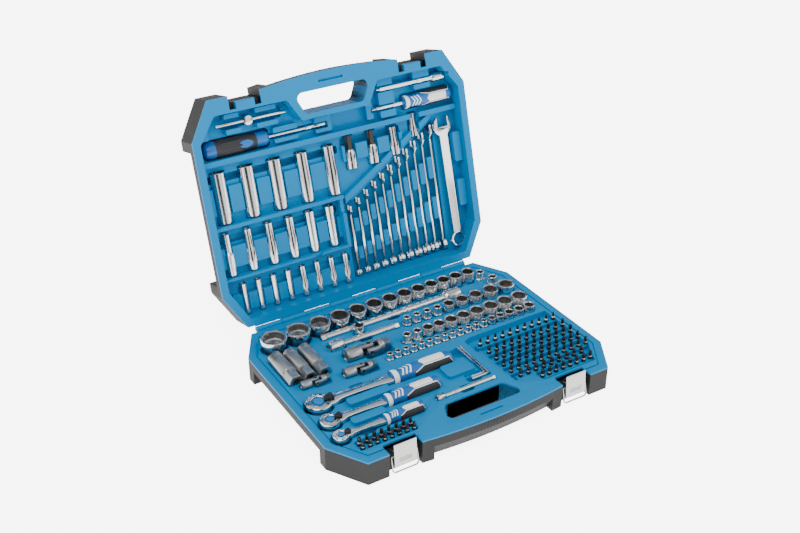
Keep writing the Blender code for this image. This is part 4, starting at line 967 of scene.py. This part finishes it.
# %% Extension bars
def bar_look(name, x0, x1, s, h, r, end_r, end, left, body, space):
    q = r * 0.75
    length = x1 - x0
    start, direction = (at(x1, s, h), (-1, 0, 0)) if left else (at(x0, s, h), (1, 0, 0))
    sq = r * 1.5
    rings = [("circle", 0, 0.0), ("square", q - 0.5, 0.0), ("square", q, 0.6), ("square", q, sq - 0.6),
             ("circle", r - 0.5, sq - 0.3), ("circle", r, sq + 0.3)]
    k0, k1 = length * 0.60, length * 0.60 + max(10.0, length * 0.07)
    rings += [("circle", r, k0), ("circle", r * 1.12, k0 + 0.3), ("knurl", r * 1.16, k0 + 0.8)]
    steps = int((k1 - k0) / 1.2)
    for i in range(steps):
        rings.append(("knurl", r * (1.16 if i % 2 else 1.12), k0 + 0.8 + (k1 - k0 - 1.6) * (i + 1) / steps))
    rings += [("circle", r * 1.12, k1 - 0.2), ("circle", r, k1)]
    rings += [("circle", r, length - end), ("circle", end_r * 0.86, length - end + end_r * 0.35),
              ("circle", end_r, length - end + end_r * 0.6), ("circle", end_r, length - 0.9),
              ("circle", end_r - 0.8, length), ("circle", q * 1.25, length)]
    out = paint(lathe(rings, start, direction, 48), CHROME)
    bore = paint(lathe([("circle", q * 1.25, length), ("square", q, length - 0.9), ("square", q, length - sq),
                        ("circle", 0, length - sq)], start, direction, 48), BORE)
    place(bundle([out, bore], name), "look_" + name, body, space, "chrome", name)


for name, values in BARS.items():
    bar_look(name, *values, "case_base", BASE)
bar_look("extension_three_eighths", *LID_BAR, "lid", LID)

# %% Spark-plug sockets and adapter
for i, (x, r) in enumerate(PLUGS, 1):
    length = 70.0
    rings = [("circle", 0, 0), ("circle", r - 0.8, 0), ("circle", r, 0.8), ("circle", r, 9),
             ("circle", r - 0.4, 9.3),
             ("circle", r - 0.4, 12.7), ("circle", r, 13), ("circle", r, 46.5), ("circle", r * 0.92, 48.2),
             ("hex", r * 0.885, 48.8), ("hex", r * 0.885, length - 0.8), ("hex", r * 0.83, length),
             ("circle", r * 0.5, length)]
    out = paint(lathe(rings, at(x, 86.0, 3.0), (0, -1, 0), 48), SATIN)
    bore = paint(lathe([("circle", r * 0.5, length), ("square", r * 0.42, length - 0.8),
                        ("square", r * 0.42, length - 14), ("circle", 0, length - 14)],
                       at(x, 86.0, 3.0), (0, -1, 0), 48), BORE)
    place(bundle([out, bore], "plug"), f"look_spark_plug_socket_{i}", "case_base", BASE, "chrome",
          f"spark_plug_socket_{i}")
place(bundle(standing_socket(-63.0, 89.2, 16.0, 15.0, 30.0, "square"), "adapter"), "look_drive_adapter",
      "case_base",
      BASE, "chrome", "drive_adapter")


# %% Rounded copies of fitted solids
def rounded_copy(node, body, slot, mat, width):
    """The solid's own form with its edges rounded, for pieces that must fit each other."""
    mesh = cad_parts[node].data.copy()
    bm = bmesh.new()
    bm.from_mesh(mesh)
    bmesh.ops.remove_doubles(bm, verts=bm.verts, dist=0.00001)
    bmesh.ops.dissolve_limit(bm, angle_limit=math.radians(1.0), verts=bm.verts, edges=bm.edges)
    bm.to_mesh(mesh)
    bm.free()
    obj = bpy.data.objects.new("copy", mesh)
    bpy.context.scene.collection.objects.link(obj)
    soften(obj, width * MM, 2, 40)
    return place(paint(obj, mat), "look_" + node, body, Matrix.Identity(4), slot, node)


for size in SWIVELS:
    rounded_copy(f"swivel_{size}_socket_yoke", "case_base", "chrome", SATIN, 0.4)
    rounded_copy(f"swivel_{size}_cross", f"swivel_{size}_cross", "black_steel", BLACK, 0.15)
    rounded_copy(f"swivel_{size}_drive_yoke", f"swivel_{size}_drive_yoke", "chrome", SATIN, 0.4)
for i in (1, 2):
    rounded_copy(f"hex_key_{i}", "case_base", "bright_steel", CHROME, 0.15)
for side in ("left", "right"):
    rounded_copy(f"latch_{side}_lever", f"latch_{side}_lever", "bright_steel", STEEL, 0.4)
    rounded_copy(f"latch_{side}_bail", f"latch_{side}_bail", "bright_steel", STEEL, 0.2)
rounded_copy("tee_bar", "lid", "chrome", CHROME, 0.4)
rounded_copy("tee_slider", "tee_slider", "chrome", CHROME, 0.4)
rounded_copy("wrench_large", "lid", "chrome", CHROME, 0.9)
rounded_copy("hinge_pin", "case_base", "bright_steel", STEEL, 0.2)
for side in (-1, 1):
    lines = []
    for low in (-24.0, -21.6, -19.2):
        x = side * LATCH_X
        lines.append(box((x - 10, x + 10), (353.9, 354.6), (low + 3.5, low + 4.5)))
    piece = bundle([paint(line, STEEL) for line in lines], "latch_lines")
    turn = turn_about(at(0, 349.4, -5.5), -5)
    piece.data.transform(turn)
    label = "left" if side < 0 else "right"
    place(piece, f"look_latch_{label}_lines", f"latch_{label}_lever", BASE, "bright_steel")

# %% Bit driver and spinner
def driver_look():
    x0, x1, s, h, r = -211.0, -107.0, 279.0, 29.0, 13.4
    length = x1 - x0
    rings = [("circle", 0, 0), ("circle", r * 0.55, 0), ("circle", r * 0.8, 2), ("circle", r * 0.93, 7),
             ("circle", r * 0.98, 16), ("circle", r, length * 0.3), ("circle", r * 0.97, length * 0.55),
             ("circle", r * 0.84, length * 0.72), ("circle", r * 0.80, length * 0.8),
             ("circle", r * 0.86, length * 0.9),
             ("circle", r * 0.84, length * 0.96), ("circle", r * 0.55, length), ("circle", 0, length)]
    skin = lathe(rings, at(x0, s, h), (1, 0, 0), 48)
    for mat in (RUBBER, GRIP, WHITE):
        skin.data.materials.append(mat)
    for face in skin.data.polygons:
        along = face.center.x - x0
        if along < 16 or along > length * 0.8:
            face.material_index = 1
    ribs = []
    for k in range(10):
        a = math.radians(200 + k * 36)
        offset = Vector((0, math.cos(a), math.sin(a))) * r * 0.93
        start = at(x0 + 24, s, h) + offset
        ribs.append(paint(rod(1.5, start, start + Vector((34, 0, 0)), 12, soft=1.2), RUBBER))
    oval = lathe([("circle", 0, 0), ("circle", 6.0, 0), ("circle", 5.6, 0.8), ("circle", 0, 1.0)],
                 Vector((0, 0, 0)), (0, 0, -1), 40)
    stretch = Matrix.Diagonal((2.0, 1.0, 1.0, 1.0))
    oval.data.transform(Matrix.Translation(at(x0 + 64, s, h - r * 0.90)) @ stretch)
    ribs.append(paint(oval, GRIP))
    place(bundle([skin] + ribs, "driver"), "look_bit_driver_handle", "lid", LID, "driver_black",
          "bit_driver_handle")
    end = -10.0
    rings = [("circle", 0, 0), ("circle", 3.2, 0), ("circle", 3.2, 63 + 52 - 40), ("circle", 4.4, 76),
             ("circle", 4.4, 88)]
    start = -159.0 + 0.3
    total = end - start
    rings = [("circle", 0, 0), ("circle", 3.2, 0), ("circle", 3.2, total - 34.5),
             ("circle", 4.2, total - 33.6),
             ("knurl", 4.4, total - 33), ("knurl", 4.4, total - 20), ("circle", 4.1, total - 19.5),
             ("circle", 4.4, total - 19), ("circle", 4.4, total - 0.5), ("circle", 4.0, total),
             ("hex", 3.2, total),
             ("hex", 3.2, total - 12), ("circle", 0, total - 12)]
    place(paint(lathe(rings, at(start, s, h), (1, 0, 0), 36), CHROME), "look_bit_driver_shaft", "lid", LID,
          "chrome",
          "bit_driver_shaft")


def spinner_look():
    x0, x1, s, h, r = 128.5, 217.0, 283.5, 21.5, 12.0
    grip = grip_skin(x0, x1, s, h, r * 0.985, GRIP, "spinner")
    turn = turn_about(at(0, s, h), 180)
    grip.data.transform(turn)
    place(grip, "look_spinner_grip", "lid", LID, "grip_blue", "spinner_grip", sharp=45)
    start, total = 70.5, 128.5 + 88.5 * 0.4 - 0.3 - 70.5
    rings = [("circle", 0, 0), ("square", 2.7, 0), ("square", 3.2, 0.6), ("square", 3.2, 8.0),
             ("circle", 3.4, 8.6),
             ("circle", 3.6, 9.2), ("circle", 3.6, 22), ("circle", 5.0, 23), ("circle", 5.0, 30),
             ("circle", 3.6, 31),
             ("circle", 3.6, total), ("circle", 0, total)]
    rings = [ring for ring in rings if ring[1] != 5.0]
    place(paint(lathe(rings, at(start, s, h), (1, 0, 0), 36), CHROME), "look_spinner_shaft", "lid", LID,
          "chrome",
          "spinner_shaft")


driver_look()
spinner_look()

# %% [markdown]
# ## Wrenches
#
# The small wrenches stand on edge, so only their edges show: a ring end seen side on, a thin shank, and
# the thicker cheeks of the open end. Each is built from those three forms and rounded.

# %% Small combination wrenches
def wrench_look():
    made = []
    for i in range(11):
        x = 8.7 + 16.5 * i
        s0, s1 = 23.8, 23.8 + 118 + 9.6 * i
        r = 6.2 + 0.42 * i
        mid = 21.5 + r
        half_t = 2.8 + 0.06 * i
        shank_h = 2.9 + 0.1 * i
        ring = lathe([("circle", r * 0.66, -half_t), ("circle", r * 0.93, -half_t),
                      ("circle", r, -half_t + 0.8),
                      ("circle", r, half_t - 0.8), ("circle", r * 0.93, half_t), ("circle", r * 0.66, half_t),
                      ("twelve", r * 0.62, 0), ("circle", r * 0.66, -half_t)], at(x, s0 + r, mid), (1, 0, 0),
                     36)
        shank = box((x - 1.9, x + 1.9), (s0 + r * 1.7, s1 - r * 1.6), (mid - shank_h, mid + shank_h))
        soften(shank, 0.8)
        jaw = r + 0.8
        outline = [(s1 - jaw * 2.2, mid + shank_h * 0.9), (s1 - jaw * 1.2, mid + jaw * 0.92),
                   (s1, mid + jaw * 0.75),
                   (s1 - 0.3, mid + jaw * 0.42), (s1 - jaw * 0.95, mid + jaw * 0.40),
                   (s1 - jaw * 0.95, mid - jaw * 0.40),
                   (s1 - 0.3, mid - jaw * 0.42), (s1, mid - jaw * 0.75), (s1 - jaw * 1.2, mid - jaw * 0.92),
                   (s1 - jaw * 2.2, mid - shank_h * 0.9)]
        bm = bmesh.new()
        face = bm.faces.new([bm.verts.new(at(x - 2.1, s, h)) for s, h in outline])
        grown = bmesh.ops.extrude_face_region(bm, geom=[face])["geom"]
        bmesh.ops.translate(bm, vec=(4.2, 0, 0),
                            verts=[v for v in grown if isinstance(v, bmesh.types.BMVert)])
        cheeks = soften(new_object("cheeks", bm), 0.6)
        made += [paint(ring, CHROME), paint(shank, CHROME), paint(cheeks, CHROME)]
    place(bundle(made, "wrenches"), "look_combination_wrench_row", "lid", LID, "chrome",
          "combination_wrench_row")


wrench_look()

# %% [markdown]
# ## Driver bits
#
# The bits repeat many times on a grid, so a node tree sets them out: points along a line of columns and
# rows, one bit form instanced on each, then realised into one plain mesh. Each rack gets its own seeded
# small turns, so the rows don't look copied.

# %% Bit forms
def bit_form(tip):
    """A hexagon shank below and a shaped tip above, standing at the origin, in millimetres."""
    shank = [("circle", 0, -5.0), ("hex", 2.9, -5.0), ("hex", 3.15, -4.5), ("hex", 3.15, 4.4),
             ("circle", 2.9, 5.2)]
    if tip == "slim":
        rings = shank + [("circle", 1.9, 6.2), ("circle", 1.7, 11.5), ("circle", 0.9, 13.2),
                         ("circle", 0, 13.3)]
    elif tip == "hex":
        rings = shank + [("circle", 2.4, 6.0), ("hex", 2.2, 6.8), ("hex", 2.2, 12.8), ("hex", 1.9, 13.3),
                         ("circle", 0, 13.3)]
    elif tip == "star":
        rings = shank + [("circle", 2.5, 6.0), ("star", 2.5, 7.0), ("star", 2.5, 12.8), ("circle", 2.0, 13.3),
                         ("circle", 0, 13.3)]
    else:
        rings = shank + [("circle", 2.7, 6.0), ("circle", 2.8, 8.6), ("square", 2.0, 11.4),
                         ("square", 0.9, 13.3), ("circle", 0, 13.4)]
    return lathe(rings, Vector((0, 0, 0)), (0, 0, 1), 12)


def bit_tree():
    """Sets a bit form out on a grid of columns and rows and realises the result."""
    tree = bpy.data.node_groups.new("bit_rack", "GeometryNodeTree")
    inputs = {}
    for label, kind in (("Bit", "NodeSocketObject"), ("Columns", "NodeSocketInt"), ("Rows", "NodeSocketInt"),
                        ("Width", "NodeSocketFloat"), ("Depth", "NodeSocketFloat"), ("Seed", "NodeSocketInt"),
                        ("Body", "NodeSocketMaterial"), ("Painted_highlight", "NodeSocketMaterial")):
        inputs[label] = tree.interface.new_socket(label, in_out="INPUT", socket_type=kind).identifier
    tree.interface.new_socket("Geometry", in_out="OUTPUT", socket_type="NodeSocketGeometry")
    new, link = tree.nodes.new, tree.links.new
    entry, leave = new("NodeGroupInput"), new("NodeGroupOutput")
    grid = new("GeometryNodeMeshGrid")
    link(entry.outputs["Width"], grid.inputs["Size X"])
    link(entry.outputs["Depth"], grid.inputs["Size Y"])
    link(entry.outputs["Columns"], grid.inputs["Vertices X"])
    link(entry.outputs["Rows"], grid.inputs["Vertices Y"])
    points = new("GeometryNodeMeshToPoints")
    link(grid.outputs["Mesh"], points.inputs["Mesh"])
    info = new("GeometryNodeObjectInfo")
    link(entry.outputs["Bit"], info.inputs["Object"])
    info.inputs["As Instance"].default_value = True
    spin = new("FunctionNodeRandomValue")
    spin.data_type = "FLOAT_VECTOR"
    link(entry.outputs["Seed"], spin.inputs["Seed"])
    spin.inputs[0].default_value = (-0.025, -0.025, -3.0)
    spin.inputs[1].default_value = (0.025, 0.025, 3.0)
    instances = new("GeometryNodeInstanceOnPoints")
    link(points.outputs["Points"], instances.inputs["Points"])
    link(info.outputs["Geometry"], instances.inputs["Instance"])
    link(spin.outputs[0], instances.inputs["Rotation"])
    real = new("GeometryNodeRealizeInstances")
    link(instances.outputs["Instances"], real.inputs["Geometry"])
    body, painted_ring = new("GeometryNodeSetMaterial"), new("GeometryNodeSetMaterial")
    link(real.outputs["Geometry"], body.inputs["Geometry"])
    link(entry.outputs["Body"], body.inputs["Material"])
    spot, split = new("GeometryNodeInputPosition"), new("ShaderNodeSeparateXYZ")
    link(spot.outputs["Position"], split.inputs["Vector"])
    # Painted highlight: the ring round each bit's shoulder, between the hexagon shank and the tip, takes a
    # bright steel material where the light would catch it.
    band = new("FunctionNodeCompare")
    band.data_type = "FLOAT"
    band.operation = "EQUAL"
    band.inputs["B"].default_value = 5.2
    band.inputs["Epsilon"].default_value = 0.9
    link(split.outputs["Z"], band.inputs["A"])
    link(body.outputs["Geometry"], painted_ring.inputs["Geometry"])
    link(band.outputs["Result"], painted_ring.inputs["Selection"])
    link(entry.outputs["Painted_highlight"], painted_ring.inputs["Material"])
    link(painted_ring.outputs["Geometry"], leave.inputs["Geometry"])
    return tree, inputs


TREE, SOCKETS = bit_tree()


def rack(tip, x, s, h, columns, rows, width, depth, seed):
    """One block of like bits as a plain mesh, centred at a place in the case layout."""
    form = bit_form(tip)
    holder = bpy.data.objects.new("rack", bpy.data.meshes.new("rack"))
    bpy.context.scene.collection.objects.link(holder)
    nodes = holder.modifiers.new("rack", "NODES")
    nodes.node_group = TREE
    # The bits' shoulder rings take the bright painted highlight material.
    for label, value in (("Bit", form), ("Columns", columns), ("Rows", rows), ("Width", width),
                         ("Depth", depth),
                         ("Seed", seed), ("Body", BIT), ("Painted_highlight", BIT_PAINTED_HIGHLIGHT)):
        nodes[SOCKETS[label]] = value
    holder.update_tag()
    graph = bpy.context.evaluated_depsgraph_get()
    mesh = bpy.data.meshes.new_from_object(holder.evaluated_get(graph))
    holder.modifiers.clear()
    holder.data = mesh
    mesh.transform(Matrix.Translation(at(x, s, h)))
    bpy.data.objects.remove(form, do_unlink=True)
    return holder


# %% Bit racks
pieces = [rack("slim", 145.6, 210.0, -3.0, 11, 1, 138.0, 0.0, 1),
          rack("hex", 145.6, 233.0, -3.0, 11, 1, 138.0, 0.0, 2),
          rack("star", 145.6, 252.0, -3.0, 11, 1, 138.0, 0.0, 3),
          rack("cross", 145.6, 270.0, -3.0, 11, 1, 138.0, 0.0, 4),
          rack("hex", 145.6, 288.0, -3.9, 11, 1, 138.0, 0.0, 5),
          rack("cross", 138.0, 303.5, -3.0, 9, 1, 112.0, 0.0, 6),
          rack("star", 152.0, 321.0, -3.0, 8, 1, 88.0, 0.0, 7),
          rack("hex", -152.0, 315.5, -3.0, 8, 1, 80.0, 0.0, 8),
          rack("cross", -152.0, 325.0, -3.0, 8, 1, 80.0, 0.0, 9)]
place(bundle(pieces, "bits"), "look_driver_bits", "case_base", BASE, "black_steel")
holders = []
for s in (210.0, 233.0, 252.0, 270.0, 288.0):
    strip = slab((70, 219.5), (s - 5.2, s + 5.2), (-9.0, -3.0), 1.5, 0.0)
    holders.append(paint(soften(strip, 0.6), BLUE))
holders.append(paint(soften(slab((75, 202), (299, 308.5), (-9.0, -3.0), 1.5, 0.0), 0.6), BLUE))
holders.append(paint(soften(slab((104, 198), (315.8, 326.2), (-9.0, -3.0), 1.5, 0.0), 0.6), BLUE))
holders.append(paint(soften(slab((-196.5, -108.5), (311.3, 329.3), (-9.0, -3.0), 1.5, 0.0), 0.6), BLUE))
place(bundle(holders, "bit_holders"), "look_bit_holders", "case_base", BASE, "case_blue")

# %% [markdown]
# ## Floor, light and camera
#
# A plain pale floor, a broad soft key light from the upper left, a fill from the right, and an even sky.

# %% Floor, light, camera
floor_mesh = bpy.data.meshes.new("floor")
bm = bmesh.new()
bmesh.ops.create_grid(bm, x_segments=1, y_segments=1, size=6.0)
bm.to_mesh(floor_mesh)
bm.free()
floor = bpy.data.objects.new("floor", floor_mesh)
bpy.context.scene.collection.objects.link(floor)
floor.location = (0, 0, -0.0005)
pale = material("floor_pale", (0.92, 0.92, 0.92), 0.8)
# The floor glows softly, and looks brighter than the light it gives.
pale_shader = pale.node_tree.nodes["Principled BSDF"]
pale_shader.inputs["Emission Color"].default_value = (1.0, 1.0, 1.0, 1.0)
seen = pale.node_tree.nodes.new("ShaderNodeLightPath")
glow = pale.node_tree.nodes.new("ShaderNodeMath")
glow.operation = "MULTIPLY_ADD"
glow.inputs[1].default_value = 4.0
glow.inputs[2].default_value = 2.0
pale.node_tree.links.new(seen.outputs["Is Camera Ray"], glow.inputs[0])
pale.node_tree.links.new(glow.outputs["Value"], pale_shader.inputs["Emission Strength"])
floor_mesh.materials.append(pale)

world = bpy.data.worlds.new("sky")
bpy.context.scene.world = world
world.use_nodes = True
sky = world.node_tree
even = sky.nodes["Background"]
even.inputs["Color"].default_value = (1.0, 1.0, 1.0, 1.0)
even.inputs["Strength"].default_value = 1.05


def sky_math(operation, one, two=0.0):
    node = sky.nodes.new("ShaderNodeMath")
    node.operation = operation
    for socket, value in zip(node.inputs, (one, two)):
        if isinstance(value, float):
            socket.default_value = value
        else:
            sky.links.new(value, socket)
    return node.outputs[0]


# Polished metal sees tall dark gaps between bright panels; everything else sees the even sky.
facing = sky.nodes.new("ShaderNodeTexCoord")
parts = sky.nodes.new("ShaderNodeSeparateXYZ")
sky.links.new(facing.outputs["Generated"], parts.inputs["Vector"])
around = sky_math("ARCTAN2", parts.outputs["Y"], parts.outputs["X"])
wave = sky_math("SINE", sky_math("ADD", sky_math("MULTIPLY", around, 5.0), 1.2))
panel = sky.nodes.new("ShaderNodeMapRange")
panel.interpolation_type = "SMOOTHSTEP"
sky.links.new(wave, panel.inputs["Value"])
for label, value in (("From Min", -0.5), ("From Max", 0.7), ("To Min", 0.05), ("To Max", 1.9)):
    panel.inputs[label].default_value = value
above = sky.nodes.new("ShaderNodeMapRange")
above.interpolation_type = "SMOOTHSTEP"
sky.links.new(parts.outputs["Z"], above.inputs["Value"])
for label, value in (("From Min", 0.55), ("From Max", 0.8), ("To Min", 0.0), ("To Max", 1.0)):
    above.inputs[label].default_value = value
level = sky.nodes.new("ShaderNodeMix")
sky.links.new(above.outputs["Result"], level.inputs["Factor"])
sky.links.new(panel.outputs["Result"], level.inputs["A"])
level.inputs["B"].default_value = 0.8
panels = sky.nodes.new("ShaderNodeBackground")
sky.links.new(level.outputs["Result"], panels.inputs["Strength"])
ray = sky.nodes.new("ShaderNodeLightPath")
choice = sky.nodes.new("ShaderNodeMixShader")
sky.links.new(ray.outputs["Is Glossy Ray"], choice.inputs["Fac"])
sky.links.new(even.outputs["Background"], choice.inputs[1])
sky.links.new(panels.outputs["Background"], choice.inputs[2])
sky.links.new(choice.outputs["Shader"], sky.nodes["World Output"].inputs["Surface"])


def area_light(name, place_m, target, size, watts):
    light = bpy.data.lights.new(name, "AREA")
    light.shape = "RECTANGLE"
    light.size, light.size_y = size
    light.energy = watts
    obj = bpy.data.objects.new(name, light)
    bpy.context.scene.collection.objects.link(obj)
    obj.location = place_m
    obj.rotation_euler = (Vector(target) - Vector(place_m)).to_track_quat("-Z", "Y").to_euler()


area_light("key", (-0.9, -0.5, 1.9), (0, 0.05, 0.1), (1.4, 1.0), 22.0)
area_light("fill", (1.4, -0.9, 1.3), (0, 0.05, 0.1), (1.2, 1.2), 9.0)

camera_data = bpy.data.cameras.new("camera")
camera_data.sensor_width = 36.0
camera_data.lens = 50.74
camera = bpy.data.objects.new("camera", camera_data)
bpy.context.scene.collection.objects.link(camera)
camera.location = (-0.753, -1.152, 1.001)
camera.rotation_euler = (math.radians(90 - 30.76), 0.0, math.radians(-31.53))
bpy.context.scene.camera = camera
